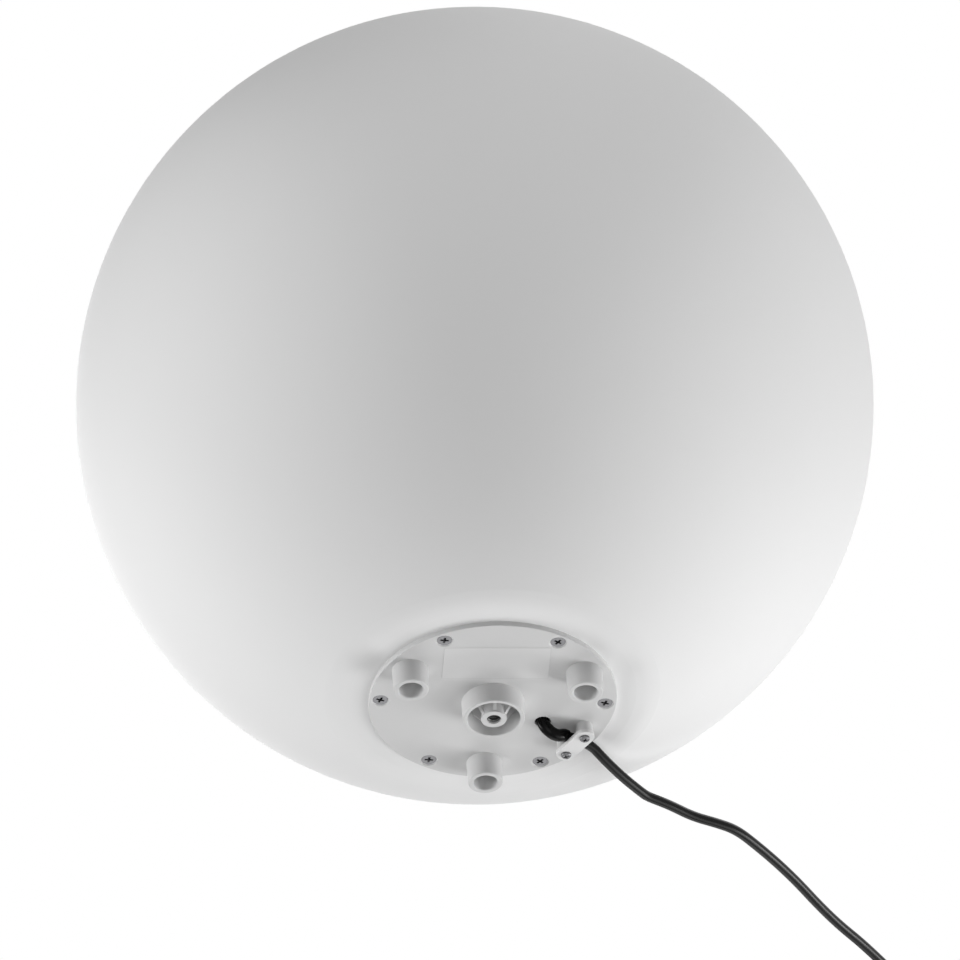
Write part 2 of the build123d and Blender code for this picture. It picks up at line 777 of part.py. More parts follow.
bulb_rim_z = cap_top_z + bulb_body_height
bulb_dome_z = bulb_rim_z + bulb_rim_height
with BuildPart() as bulb_body:
    with BuildSketch(Plane.XZ):
        with BuildLine():
            Line((0, cap_top_z), (bulb_neck_radius, cap_top_z))
            TangentArc((bulb_neck_radius, cap_top_z), (bulb_body_radius, bulb_rim_z), tangent=(0, 1))
            Line((bulb_body_radius, bulb_rim_z), (bulb_body_radius, bulb_dome_z))
            Line((bulb_body_radius, bulb_dome_z), (0, bulb_dome_z))
            Line((0, bulb_dome_z), (0, cap_top_z))
        make_face()
    revolve(axis=Axis.Z)
bulb_body.part.label = "bulb_body"
export_step(bulb_body.part, "parts/bulb_body.step")

with BuildPart() as bulb_dome:
    with BuildSketch(Plane.XZ):
        with BuildLine():
            Line((0, bulb_dome_z), (bulb_body_radius, bulb_dome_z))
            TangentArc(
                (0, bulb_dome_z + bulb_dome_height), (bulb_body_radius, bulb_dome_z), tangent=(1, 0)
            )
            Line((0, bulb_dome_z + bulb_dome_height), (0, bulb_dome_z))
        make_face()
    revolve(axis=Axis.Z)
bulb_dome.part.label = "bulb_dome"
export_step(bulb_dome.part, "parts/bulb_dome.step")

# ---------------------------------------------------------------- free lead on the ground
entry_turn = math.radians(coil_entry_heading)
heading = Vector(math.cos(entry_turn), math.sin(entry_turn), 0)
coil_entry = Vector(coil_entry_x, coil_entry_y, coil_base_z)
free_end = coil_entry - heading * end_run
cord_route = [
    cable_point(cord_exit_place, 0, cord_axis_z),
    cable_point(cord_exit_place + cord_exit_run, 0, cord_axis_z),
    Vector(71.5, 45.0, 7.8),
    Vector(84.0, 58.2, 4.3),
    Vector(96.6, 71.5, cord_low_z),
    Vector(101.2, 76.3, cord_low_z),
    Vector(107.4, 79.9, cord_low_z),
    Vector(117.0, 85.6, cord_low_z),
    Vector(132.0, 96.6, cord_low_z),
    Vector(147.5, 103.0, cord_low_z),
    Vector(160.5, 109.8, cord_low_z),
    Vector(174.5, 125.2, cord_low_z),
    Vector(190.5, 144.4, cord_low_z),
    Vector(205.5, 164.4, cord_low_z),
    Vector(221.5, 188.0, cord_low_z),
    Vector(237.2, 209.0, cord_low_z),
    Vector(253.3, 227.6, cord_low_z),
    Vector(269.0, 248.0, cord_low_z),
    Vector(286.5, 271.8, cord_low_z),
    free_end - heading * coil_entry_run,
    free_end,
]


def corner_radii(points):
    """Arc radius at each corner that takes corner_share of the shorter of its two runs."""
    radii = []
    for before, corner, after in zip(points, points[1:], points[2:]):
        turn = (corner - before).get_angle(after - corner)
        shorter = min((corner - before).length, (after - corner).length)
        radii.append(corner_share * shorter / math.tan(math.radians(turn) / 2))
    return radii


free_radii = corner_radii(cord_route)
free_path = rounded_route(cord_route, free_radii)
with BuildPart() as cord_free:
    add(tube(free_path, cord_radius))
cord_free.part.label = "cord_free"
export_step(cord_free.part, "parts/cord_free.step")
print("free lead corner radii", [round(radius, 1) for radius in free_radii])
cord_section = math.pi * cord_radius**2
print("free lead volume", cord_free.part.volume, "section x length", cord_section * free_path.length)

# ---------------------------------------------------------------- coil
coil_steps = []
for layer in range(coil_layers):
    inward = -1 if layer % 2 == 0 else 1
    topmost = layer == coil_layers - 1
    half_turns = last_layer_half_turns if topmost else half_turns_per_layer
    for half in range(half_turns):
        by_climb = (half == 0 and layer > 0) or (half == half_turns - 1 and not topmost)
        coil_steps.append((inward * (reverse_step if by_climb else half_turn_step), 0))
    if not topmost:
        coil_steps.append((0, layer_rise))

# radius of the outermost turn that gives the lead its length
growth = 0
growth_sum = 0
inner_growth = 0
for step, rise in coil_steps:
    growth_sum += growth + step / 2
    growth += step
    inner_growth = min(inner_growth, growth)
coiled_length = cord_length - free_path.length - tail_drop_run - 2 * end_run
coil_outer_radius = (coiled_length / math.pi - growth_sum) / len(coil_steps)

coil_centre = coil_entry - Vector(math.sin(entry_turn), -math.cos(entry_turn), 0) * coil_outer_radius
coil_plane = Plane(
    origin=(coil_centre.X, coil_centre.Y, 0),
    x_dir=(math.sin(entry_turn), -math.cos(entry_turn), 0),
    z_dir=(0, 0, 1),
)


def coil_point(out, along, height):
    """Point in the coil's own frame: out to its right, along the way the lead comes in."""
    return coil_plane.from_local_coords(Vector(out, along, height))


with BuildPart() as cord_coil:
    with BuildLine() as coil_route:
        side = 1
        radius = coil_outer_radius
        height = coil_base_z
        Line(coil_point(radius, -end_run, height), coil_point(radius, 0, height))
        for step, rise in coil_steps:
            forward = coil_plane.y_dir * side
            start = coil_point(side * radius, 0, height)
            end = coil_point(-side * (radius + step), 0, height + rise)
            if rise:
                middle = coil_point(0, side * math.hypot(radius, rise / 2), height + rise / 2)
                TangentArc(start, middle, tangent=forward)
                TangentArc(middle, end, tangent=forward, tangent_from_first=False)
            else:
                middle = coil_point(-side * step / 2, side * (radius + step / 2), height)
                ThreePointArc(start, middle, end)
            side = -side
            radius += step
            height += rise
        forward = coil_plane.y_dir * side
        tail_start = coil_point(side * radius, 0, height)
        tail_middle = coil_point(side * radius, side * tail_drop_run / 2, (height + plug_axis_z) / 2)
        tail_low = coil_point(side * radius, side * tail_drop_run, plug_axis_z)
        tail_end = tail_low + forward * end_run
        TangentArc(tail_start, tail_middle, tangent=forward)
        TangentArc(tail_middle, tail_low, tangent=-forward, tangent_from_first=False)
        Line(tail_low, tail_end)
    coil_path = coil_route.wire()
    with BuildSketch(Plane(origin=coil_path @ 0, z_dir=coil_path % 0)):
        Circle(cord_radius)
    sweep()
cord_coil.part.label = "cord_coil"
export_step(cord_coil.part, "parts/cord_coil.step")
print("coil outer radius", coil_outer_radius, "turns", len(coil_steps) / 2)
print("coil volume", cord_coil.part.volume, "section x length", cord_section * coil_path.length)
print("lead length outside the lamp", free_path.length + coil_path.length)

# least distance between stretches of the coil that are more than a half turn apart
coil_points = []
run_so_far = 0
for edge in coil_path.edges():
    count = max(4, int(edge.length / 2))
    for index in range(count):
        coil_points.append((run_so_far + edge.length * index / count, edge @ (index / count)))
    run_so_far += edge.length
apart = 6 * cord_radius
least_gap = min(
    (here - there).length
    for number, (run, here) in enumerate(coil_points)
    for other_run, there in coil_points[number + 1:]
    if other_run - run > apart and abs(here.X - there.X) < apart and abs(here.Y - there.Y) < apart
) - 2 * cord_radius
print("least gap of the coil to itself", least_gap)

# ---------------------------------------------------------------- tie round the coil
coil_inner_radius = coil_outer_radius + inner_growth
tie_inner = coil_inner_radius - cord_radius - tie_clearance
tie_outer = coil_outer_radius + cord_radius + tie_clearance
tie_low = coil_base_z - cord_radius - tie_clearance
tie_high = coil_base_z + (coil_layers - 1) * layer_rise + cord_radius + tie_clearance
tie_turn = math.radians(tie_angle)
tie_plane = Plane(
    origin=coil_plane.origin,
    x_dir=coil_plane.x_dir * math.cos(tie_turn) + coil_plane.y_dir * math.sin(tie_turn),
    z_dir=coil_plane.x_dir * math.sin(tie_turn) - coil_plane.y_dir * math.cos(tie_turn),
)
with BuildPart() as coil_tie:
    with BuildSketch(tie_plane):
        with Locations(((tie_inner + tie_outer) / 2, (tie_low + tie_high) / 2)):
            RectangleRounded(
                tie_outer - tie_inner + 2 * tie_thickness,
                tie_high - tie_low + 2 * tie_thickness,
                tie_corner + tie_thickness,
            )
            RectangleRounded(tie_outer - tie_inner, tie_high - tie_low, tie_corner, mode=Mode.SUBTRACT)
    extrude(amount=tie_width / 2, both=True)
coil_tie.part.label = "coil_tie"
export_step(coil_tie.part, "parts/coil_tie.step")

# ---------------------------------------------------------------- plug
plug_plane = Plane(origin=coil_path @ 1, x_dir=coil_plane.x_dir, z_dir=coil_path % 1)
plug_axis = Axis(plug_plane.origin, plug_plane.z_dir)
shoulder_end = plug_relief_length + plug_shoulder_length
plug_face = shoulder_end + plug_body_length
pin_places = [(side * pin_spacing / 2, 0) for side in SIDES]
with BuildPart() as plug_body:
    with BuildSketch(plug_plane):
        Circle(plug_relief_tip_radius)
    with BuildSketch(plug_plane.offset(plug_relief_length)):
        Circle(plug_neck_radius)
    loft()
    for ring in range(plug_relief_rings):
        with BuildSketch(plug_plane.offset(plug_ring_pitch * (ring + 1))):
            Circle(plug_neck_radius)
            Circle(plug_relief_tip_radius - plug_ring_depth, mode=Mode.SUBTRACT)
        extrude(amount=plug_ring_width, mode=Mode.SUBTRACT)
    with BuildSketch(plug_plane.offset(plug_relief_length)):
        Circle(plug_neck_radius)
    with BuildSketch(plug_plane.offset(shoulder_end)):
        RectangleRounded(plug_width, 2 * plug_half_thickness, plug_corner)
    loft()
    with BuildSketch(plug_plane.offset(shoulder_end)):
        RectangleRounded(plug_width, 2 * plug_half_thickness, plug_corner)
    extrude(amount=plug_body_length)
    fillet(plug_body.faces().sort_by(plug_axis)[-1].edges(), plug_edge_round)
    with BuildSketch(plug_plane.offset(plug_face)):
        with Locations(*pin_places):
            Circle(pin_root_radius + pin_fit)
    extrude(amount=-pin_root_depth, mode=Mode.SUBTRACT)
plug_body.part.label = "plug_body"
export_step(plug_body.part, "parts/plug_body.step")

with BuildPart() as plug_pins:
    with BuildSketch(plug_plane.offset(plug_face - pin_root_depth)):
        with Locations(*pin_places):
            Circle(pin_root_radius)
    extrude(amount=pin_root_depth)
    with BuildSketch(plug_plane.offset(plug_face)):
        with Locations(*pin_places):
            Circle(pin_radius)
    extrude(amount=pin_length)
    fillet(plug_pins.faces().sort_by(plug_axis)[-2:].edges(), pin_tip_round)
plug_pins.part.label = "plug_pins"
export_step(plug_pins.part, "parts/plug_pins.step")
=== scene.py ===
import json
import math

import bpy
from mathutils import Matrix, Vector


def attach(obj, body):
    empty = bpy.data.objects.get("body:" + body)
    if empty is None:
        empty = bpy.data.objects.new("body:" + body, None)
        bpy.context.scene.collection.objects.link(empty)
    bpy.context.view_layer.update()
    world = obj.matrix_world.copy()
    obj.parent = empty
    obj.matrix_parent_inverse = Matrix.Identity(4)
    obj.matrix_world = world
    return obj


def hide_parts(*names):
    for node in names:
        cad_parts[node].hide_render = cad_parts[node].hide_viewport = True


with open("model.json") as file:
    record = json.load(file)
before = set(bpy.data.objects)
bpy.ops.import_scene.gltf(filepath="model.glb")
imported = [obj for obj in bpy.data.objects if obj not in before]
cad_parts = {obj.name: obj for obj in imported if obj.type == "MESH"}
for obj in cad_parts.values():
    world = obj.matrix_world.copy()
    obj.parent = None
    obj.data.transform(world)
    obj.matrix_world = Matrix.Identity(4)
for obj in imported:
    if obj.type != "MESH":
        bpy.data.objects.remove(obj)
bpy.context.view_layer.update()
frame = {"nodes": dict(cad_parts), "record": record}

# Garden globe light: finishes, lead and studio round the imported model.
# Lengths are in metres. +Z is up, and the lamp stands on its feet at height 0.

bl_info = {
    "name": "Garden globe light",
    "version": (1, 0, 0),
    "blender": (4, 5, 0),
    "location": "3D View > Sidebar > Globe light",
    "description": "Finishes, lead and studio for a garden globe light",
    "category": "Object",
}

# Bodies that the pieces ride on.
LAMP = "lamp"
BULB = "bulb"

# Turn of the upright plane in which the lead leaves the plate.
CABLE_TURN = math.radians(30)


def slot_colour(name):
    """Colour that the record gives a material slot."""
    for entry in frame["record"]["materials"]:
        if entry["slot"] == name:
            return tuple(entry["base_color"])
    raise ValueError(f"no material slot {name}")


# ---------------------------------------------------------------- settings
def length_setting(name, description, default):
    return bpy.props.FloatProperty(
        name=name, description=description, default=default, min=0, unit="LENGTH", precision=5
    )


def share_setting(name, description, default):
    return bpy.props.FloatProperty(
        name=name, description=description, default=default, min=0, max=1, subtype="FACTOR"
    )


def colour_setting(name, description, default):
    return bpy.props.FloatVectorProperty(
        name=name, description=description, default=default, size=3, min=0, max=1, subtype="COLOR"
    )


class GlobeSizes(bpy.types.PropertyGroup):
    """Sizes of the pieces that are drawn here."""

    cord_diameter: length_setting("Lead diameter", "Outside diameter of the rubber lead", 0.0062)
    cord_length: length_setting("Lead length", "Length of the lead outside the lamp", 5.0)
    coil_radius: length_setting("Coil radius", "Radius of the coil's outermost turn", 0.054624)
    label_width: length_setting("Label width", "Width of the bare label on the plate", 0.0648)
    label_height: length_setting("Label height", "Height of the bare label on the plate", 0.0304)
    label_thickness: length_setting("Label thickness", "Thickness of the bare label", 0.00012)
    head_radius: length_setting("Screw head radius", "Radius of the countersunk heads", 0.0048)
    spike_pitch: length_setting("Spike thread pitch", "Pitch of the spike insert's thread", 0.00125)
    cap_pitch: length_setting("Bulb thread pitch", "Pitch of the bulb cap's thread", 0.0036)


class GlobeFinishes(bpy.types.PropertyGroup):
    """Colours and surface of the pieces."""

    ball: colour_setting("Ball", "Colour of the ball's plastic", slot_colour("ball_plastic"))
    plate: colour_setting("Plate", "Colour of the base plate", slot_colour("plate_plastic"))
    label: colour_setting("Label", "Colour of the bare label", (0.60, 0.60, 0.60))
    screw: colour_setting("Screws", "Colour of the screws' steel", (0.14, 0.14, 0.145))
    # Near black: the spike insert's metal darkened as painted shade of its deep bore.
    insert: colour_setting("Insert", "Colour of the spike insert", (0.055, 0.055, 0.055))
    lead: colour_setting("Lead", "Colour of the lead's rubber", (0.0025, 0.0025, 0.0025))
    sleeve: colour_setting("Sleeve", "Colour of the lead's sleeve", (0.002, 0.002, 0.002))
    brass: colour_setting("Contacts", "Colour of the contact brass", slot_colour("contact_brass"))
    diffuser: colour_setting("Bulb dome", "Colour of the bulb's dome", slot_colour("bulb_diffuser"))
    ball_gloss: share_setting("Ball roughness", "Roughness of the ball's surface", 0.74)
    plate_gloss: share_setting("Plate roughness", "Roughness of the plate's surface", 0.55)


class GlobeStudio(bpy.types.PropertyGroup):
    """Light and camera."""

    power: bpy.props.FloatProperty(
        name="Lamps",
        description="Power of the lamps, which keep their shares",
        default=10.0,
        unit="POWER",
    )
    fill: share_setting("Fill", "Strength of the even light from all round", 0.05)
    floor: colour_setting("Floor", "Colour of the floor", (0.90, 0.90, 0.90))
    floor_glow: share_setting("Floor glow", "Share of the floor's white that is seen by itself", 0.50)
    lens: bpy.props.FloatProperty(
        name="Lens", description="Focal length on a 36 mm sensor", default=267.909, unit="CAMERA"
    )


# ---------------------------------------------------------------- material nodes
# The Mix node's colour sockets, by number, because its sockets for numbers have the same names.
MIX_FIRST_COLOUR = 6
MIX_SECOND_COLOUR = 7
MIX_COLOUR_RESULT = 2


class Signal:
    """A socket's value. Arithmetic on it adds Math nodes."""

    def __init__(self, finish, socket):
        self.finish = finish
        self.socket = socket

    def combine(self, operation, first, second):
        return self.finish.add("ShaderNodeMath", {"operation": operation}, {0: first, 1: second})

    def __add__(self, other):
        return self.combine("ADD", self, other)

    def __radd__(self, other):
        return self.combine("ADD", other, self)

    def __sub__(self, other):
        return self.combine("SUBTRACT", self, other)

    def __rsub__(self, other):
        return self.combine("SUBTRACT", other, self)

    def __mul__(self, other):
        return self.combine("MULTIPLY", self, other)

    def __rmul__(self, other):
        return self.combine("MULTIPLY", other, self)

    def above(self, level):
        return self.combine("GREATER_THAN", self, level)

    def larger(self, other):
        return self.combine("MAXIMUM", self, other)

    def smaller(self, other):
        return self.combine("MINIMUM", self, other)

    def sine(self):
        return self.finish.add("ShaderNodeMath", {"operation": "SINE"}, {0: self})

    def root(self):
        return self.finish.add("ShaderNodeMath", {"operation": "SQRT"}, {0: self})

    def ramp(self, low, high):
        """0 below low, 1 above high, smooth between."""
        return self.finish.add(
            "ShaderNodeMapRange",
            {"interpolation_type": "SMOOTHSTEP"},
            {"Value": self, "From Min": low, "From Max": high},
        )

    def swing(self, span):
        """Noise from 0 to 1 as a swing about 0 that is span wide in all."""
        return (self - 0.5) * span


class Finish:
    """A node tree of a material or the world."""

    def __init__(self, owner):
        owner.use_nodes = True
        self.owner = owner
        self.tree = owner.node_tree
        self.tree.nodes.clear()

    def add(self, kind, settings=None, inputs=None, output=0):
        """Adds a node: its settings first, then values or links of its sockets. Returns one output."""
        node = self.tree.nodes.new(kind)
        for key, value in (settings or {}).items():
            setattr(node, key, value)
        for key, value in (inputs or {}).items():
            socket = node.inputs[key]
            if isinstance(value, Signal):
                self.tree.links.new(value.socket, socket)
            elif hasattr(socket.default_value, "__len__") and len(value) < len(socket.default_value):
                socket.default_value = (*value, 1)
            else:
                socket.default_value = value
        return Signal(self, node.outputs[output]) if len(node.outputs) else None

    def place(self):
        """Position on the piece, in metres."""
        return self.add("ShaderNodeTexCoord", output="Object")

    def axes(self):
        """The position's three coordinates."""
        node = self.add("ShaderNodeSeparateXYZ", inputs={0: self.place()}).socket.node
        return [Signal(self, socket) for socket in node.outputs]

    def rays(self):
        """Outputs that tell which kind of ray meets the surface."""
        return self.add("ShaderNodeLightPath").socket.node.outputs

    def stretched(self, factors):
        """The position, scaled along each axis."""
        return self.add(
            "ShaderNodeVectorMath", {"operation": "MULTIPLY"}, {0: self.place(), 1: factors}
        )

    def noise(self, size, detail=2.0, vector=None):
        """Noise from 0 to 1 whose lumps are about size across."""
        return self.add(
            "ShaderNodeTexNoise",
            inputs={"Vector": vector or self.place(), "Scale": 1 / size, "Detail": detail},
            output="Fac",
        )

    def cells(self, size):
        """Distance to the nearest of points that are about size apart."""
        return self.add(
            "ShaderNodeTexVoronoi",
            inputs={"Vector": self.place(), "Scale": 1 / size},
            output="Distance",
        )

    def tint(self, share, first, second):
        """Colour between two colours."""
        node = self.tree.nodes.new("ShaderNodeMix")
        node.data_type = "RGBA"
        self.tree.links.new(share.socket, node.inputs["Factor"])
        node.inputs[MIX_FIRST_COLOUR].default_value = (*first, 1)
        node.inputs[MIX_SECOND_COLOUR].default_value = (*second, 1)
        return Signal(self, node.outputs[MIX_COLOUR_RESULT])

    def relief(self, height, depth, strength, over=None):
        """Normal of a surface whose height signal stands for depth metres."""
        inputs = {"Height": height, "Distance": depth, "Strength": strength}
        if over:
            inputs["Normal"] = over
        return self.add("ShaderNodeBump", inputs=inputs)

    def surface(self, **sockets):
        """Principled shader on the material's output. Socket names use _ for a space."""
        inputs = {name.replace("_", " "): value for name, value in sockets.items()}
        shader = self.add("ShaderNodeBsdfPrincipled", inputs=inputs)
        self.add("ShaderNodeOutputMaterial", inputs={"Surface": shader})
        return self.owner


def new_finish(name):
    return Finish(bpy.data.materials.new(name))


def shade_of(colour, factor):
    """The colour made lighter or darker."""
    return tuple(min(1.0, part * factor) for part in colour)


# ---------------------------------------------------------------- finishes
def moulded_plastic(name, colour, gloss, grain, depth, mottle=0.03, wave=0.012):
    """Moulded plastic: fine tool grain over a slight waviness, with faint clouds in its colour.

    grain and wave are sizes across, depth is the grain's, and mottle is the clouds' share.
    """
    finish = new_finish(name)
    cloud = finish.noise(wave * 4, detail=3.0)
    fine = finish.noise(grain, detail=2.0)
    pits = finish.cells(grain * 1.6)
    base = finish.tint(cloud, shade_of(colour, 1 - mottle), shade_of(colour, 1 + mottle))
    rough = gloss + cloud.swing(0.08) + fine.swing(0.06)
    slow = finish.relief(finish.noise(wave), depth * 2, strength=0.4)
    skin = finish.relief(fine * 0.6 + pits * 0.4, depth, strength=0.55, over=slow)
    return finish.surface(
        Base_Color=base, Roughness=rough, Normal=skin, IOR=1.49, Specular_IOR_Level=0.4
    )


def turned_metal(name, colour, gloss, wear=0.25):
    """Turned metal: fine rings round the piece's own axis, with dull patches."""
    ring_pitch = 0.0003
    patch_size = 0.0012
    scratch_size = 0.00035
    line_depth = 0.00001
    finish = new_finish(name)
    across, along, up = finish.axes()
    reach = (across * across + along * along).root()
    rings = (reach * (2 * math.pi / ring_pitch)).sine() * 0.5 + 0.5
    patches = finish.noise(patch_size, detail=4.0)
    scratches = finish.noise(scratch_size, vector=finish.stretched((1, 6, 1)))
    base = finish.tint(patches, shade_of(colour, 1 - wear), shade_of(colour, 1 + wear * 0.5))
    rough = gloss + patches.swing(0.24) + rings * 0.05
    skin = finish.relief(rings * 0.4 + scratches * 0.6, line_depth, strength=0.6)
    return finish.surface(Base_Color=base, Roughness=rough, Metallic=1.0, Normal=skin)


def soft_rubber(name, colour, gloss, dust=0.35, shine=0.12):
    """Rubber: extrusion streaks, a fine skin and a trace of pale dust."""
    skin_size = 0.0004
    streak_size = 0.0006
    film_size = 0.018
    skin_depth = 0.00004
    dust_lift = 0.010
    finish = new_finish(name)
    skin = finish.noise(skin_size, detail=3.0)
    lines = finish.noise(streak_size, detail=2.0, vector=finish.stretched((0.25, 0.25, 1)))
    film = finish.noise(film_size, detail=4.0).ramp(0.45, 0.8)
    dusty = shade_of(tuple(part + dust_lift for part in colour), 1.5)
    base = finish.tint(film * dust, colour, dusty)
    rough = gloss + film * 0.10 + skin.swing(0.10)
    normal = finish.relief(skin * 0.5 + lines * 0.5, skin_depth, strength=0.5)
    return finish.surface(
        Base_Color=base, Roughness=rough, Normal=normal, IOR=1.52, Specular_IOR_Level=shine
    )


def bright_gloss(name, colour, gloss, ripple=0.004, depth=0.00006, shine=0.5):
    """Smooth glossy plastic or glass with a slight ripple, whose size across and depth are given."""
    finish = new_finish(name)
    slow = finish.noise(ripple, detail=2.0)
    cloud = finish.noise(ripple * 6, detail=3.0)
    base = finish.tint(cloud, shade_of(colour, 0.95), shade_of(colour, 1.05))
    rough = gloss + cloud.swing(0.06)
    normal = finish.relief(slow, depth, strength=0.5)
    return finish.surface(
        Base_Color=base, Roughness=rough, Normal=normal, IOR=1.5, Specular_IOR_Level=shine
    )


def core_insulation():
    """One core brown and one blue, told apart by their place beside the lead's upright plane."""
    # The supply cores leave the lead on either side of its middle and slant to the terminals.
    lead_middle = 0.0362
    slant_end = 0.007
    slant = 0.9
    # Beyond the terminals the holder's cores turn back, one on either side of this line, and
    # then rise on either side of the pillar's middle.
    turn_line = 0.0362
    turn_end = -0.003
    brown = (0.16, 0.065, 0.03)
    blue = (0.03, 0.10, 0.34)
    finish = new_finish("core_insulation")
    across, along, up = finish.axes()
    place = across * math.cos(CABLE_TURN) + along * math.sin(CABLE_TURN)
    aside = along * math.cos(CABLE_TURN) - across * math.sin(CABLE_TURN)
    supply = (place + aside.smaller(slant_end) * slant).above(lead_middle)
    outer_run = aside.above(turn_line) * place.above(turn_end)
    riser = (0.0 - place).above(0.0) * (turn_line - aside).above(0.0)
    second_core = supply.larger(outer_run).larger(riser)
    skin = finish.noise(0.0008, detail=3.0)
    base = finish.tint(second_core, brown, blue)
    return finish.surface(
        Base_Color=base,
        Roughness=0.34 + skin.swing(0.12),
        Normal=finish.relief(skin, 0.00003, strength=0.5),
    )


def woven_strap():
    """Hook and loop strap: crossed ribs with a napped face."""
    rib_width = 0.0009
    nap_size = 0.0005
    weave_depth = 0.00018
    shadowed = (0.018, 0.018, 0.019)
    napped = (0.055, 0.055, 0.057)
    finish = new_finish("woven_strap")
    across, along, up = finish.axes()
    warp = (across * (2 * math.pi / rib_width)).sine()
    weft = (along * (2 * math.pi / rib_width)).sine()
    rise = (up * (2 * math.pi / rib_width)).sine()
    nap = finish.noise(nap_size, detail=4.0)
    weave = warp * weft + rise * 0.5
    base = finish.tint(nap, shadowed, napped)
    return finish.surface(
        Base_Color=base,
        Roughness=0.82 + nap.swing(0.2),
        Normal=finish.relief(weave * 0.25 + nap, weave_depth, strength=0.7),
    )


def dress(material, *nodes):
    """Gives CAD nodes a finish through their objects' own material slots."""
    for node in nodes:
        for slot in frame["nodes"][node].material_slots:
            slot.material = material


# ---------------------------------------------------------------- shapes
# Edges at which a surface turns by more than this many degrees stay sharp.
SHARP_DEGREES = 35

# How far outside a screw's head the cutter of its cross starts.
CUTTER_START = 0.0003


def piece(name, mesh, material, slot, *stands_for):
    """A visible object with its material slot, standing for the CAD nodes that it replaces. The slot
    argument is not used.
    """
    mesh.materials.append(material)
    shown = bpy.data.objects.new(name, mesh)
    bpy.context.scene.collection.objects.link(shown)
    if stands_for:
        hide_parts(*stands_for)
    return shown


def smooth(mesh):
    """Smooth shading with sharp edges."""
    mesh.shade_smooth()
    mesh.set_sharp_from_angle(angle=math.radians(SHARP_DEGREES))
    return mesh


def lathe(name, outline, steps, closed=False, thread=None):
    """Surface of revolution round Z from an outline of (radius, height) points.

    thread is (start, end, pitch, depth): between those heights the radius grows by up to depth
    along a helix. Points on the axis share one vertex.
    """
    verts = []
    rows = []
    for radius, height in outline:
        if radius == 0:
            rows.append([len(verts)] * steps)
            verts.append((0, 0, height))
            continue
        row = []
        for step in range(steps):
            turn = 2 * math.pi * step / steps
            reach = radius
            if thread:
                start, end, pitch, depth = thread
                if start <= height <= end:
                    phase = height / pitch - step / steps
                    fade = min(1.0, (height - start) / pitch, (end - height) / pitch)
                    reach += depth * fade * (0.5 - 0.5 * math.cos(2 * math.pi * phase))
            row.append(len(verts))
            verts.append((reach * math.cos(turn), reach * math.sin(turn), height))
        rows.append(row)
    faces = []
    pairs = list(zip(rows, rows[1:]))
    if closed:
        pairs.append((rows[-1], rows[0]))
    for low, high in pairs:
        for step in range(steps):
            after = (step + 1) % steps
            corners = [low[step], low[after], high[after], high[step]]
            face = [c for number, c in enumerate(corners) if c not in corners[:number]]
            if len(face) > 2:
                faces.append(face)
    mesh = bpy.data.meshes.new(name)
    mesh.from_pydata(verts, [], faces)
    mesh.validate()
    return smooth(mesh)


def climb(low, high, pitch, radius, per_turn=10):
    """Outline points of a threaded stretch at one radius."""
    count = max(2, round((high - low) / pitch * per_turn))
    return [(radius, low + (high - low) * number / count) for number in range(count + 1)]


def arc(centre, radius, first, last, count):
    """Outline points along an arc, angles in degrees."""
    points = []
    for number in range(count + 1):
        turn = math.radians(first + (last - first) * number / count)
        points.append((centre[0] + radius * math.cos(turn), centre[1] + radius * math.sin(turn)))
    return points


def cross_cutter(reach, width, top, depth):
    """Tapered cross that cuts a screw's recess, from just outside the head's top down into it."""
    tip_reach = reach * 0.6
    tip_half = width * 0.36
    verts = []
    for height, arm, half in ((top, reach, width / 2), (top + depth, tip_reach, tip_half)):
        plus = [
            (arm, -half), (arm, half), (half, half), (half, arm), (-half, arm), (-half, half),
            (-arm, half), (-arm, -half), (-half, -half), (-half, -arm), (half, -arm), (half, -half),
        ]
        verts += [(x, y, height) for x, y in plus]
    count = len(plus)
    faces = [list(range(count - 1, -1, -1)), list(range(count, 2 * count))]
    for corner in range(count):
        after = (corner + 1) % count
        faces.append([corner, after, count + after, count + corner])
    mesh = bpy.data.meshes.new("cross_cutter")
    mesh.from_pydata(verts, [], faces)
    return mesh


def cut(mesh, cutter):
    """The mesh with the cutter taken out of it."""
    body = bpy.data.objects.new("blank", mesh)
    tool = bpy.data.objects.new("cutter", cutter)
    for each in (body, tool):
        bpy.context.scene.collection.objects.link(each)
    step = body.modifiers.new("recess", "BOOLEAN")
    step.operation = "DIFFERENCE"
    step.solver = "EXACT"
    step.object = tool
    bpy.context.view_layer.update()
    result = bpy.data.meshes.new_from_object(body.evaluated_get(bpy.context.evaluated_depsgraph_get()))
    for each in (body, tool):
        bpy.data.objects.remove(each)
    return smooth(result)


def screw_mesh(name, head, shank, length, thread_depth, pitch, reach, width, depth):
    """Cross-head screw along +Z, with its head's outline given from the top.

    reach, width and depth are the cross's: along each arm, across it, and from the cutter's start.
    """
    top = head[0][1]
    start = head[-1][1] + pitch
    end = length - 2 * pitch
    tip_radius = shank * 0.35
    tip_height = length - pitch * 0.4
    outline = list(head)
    outline += climb(start, end, pitch, shank - thread_depth)
    outline += [(tip_radius, tip_height), (0, length)]
    mesh = lathe(name, outline, 32, thread=(start, end, pitch, thread_depth))
    return cut(mesh, cross_cutter(reach, width, top - CUTTER_START, depth))


def plate_screw_mesh(head):
    """Countersunk screw of the base plate, from its head's radius."""
    shank = 0.0023
    head_height = 0.0028
    flat = head * 0.6
    edge = 0.0003
    crown = 0.00002
    outline = [(0, 0), (flat, 0), (head - edge, crown), (head, edge), (shank, head_height)]
    return screw_mesh(
        "plate_screw",
        outline,
        shank,
        length=0.0134,
        thread_depth=0.0004,
        pitch=0.0016,
        reach=0.0027,
        width=0.0015,
        depth=0.0026,
    )


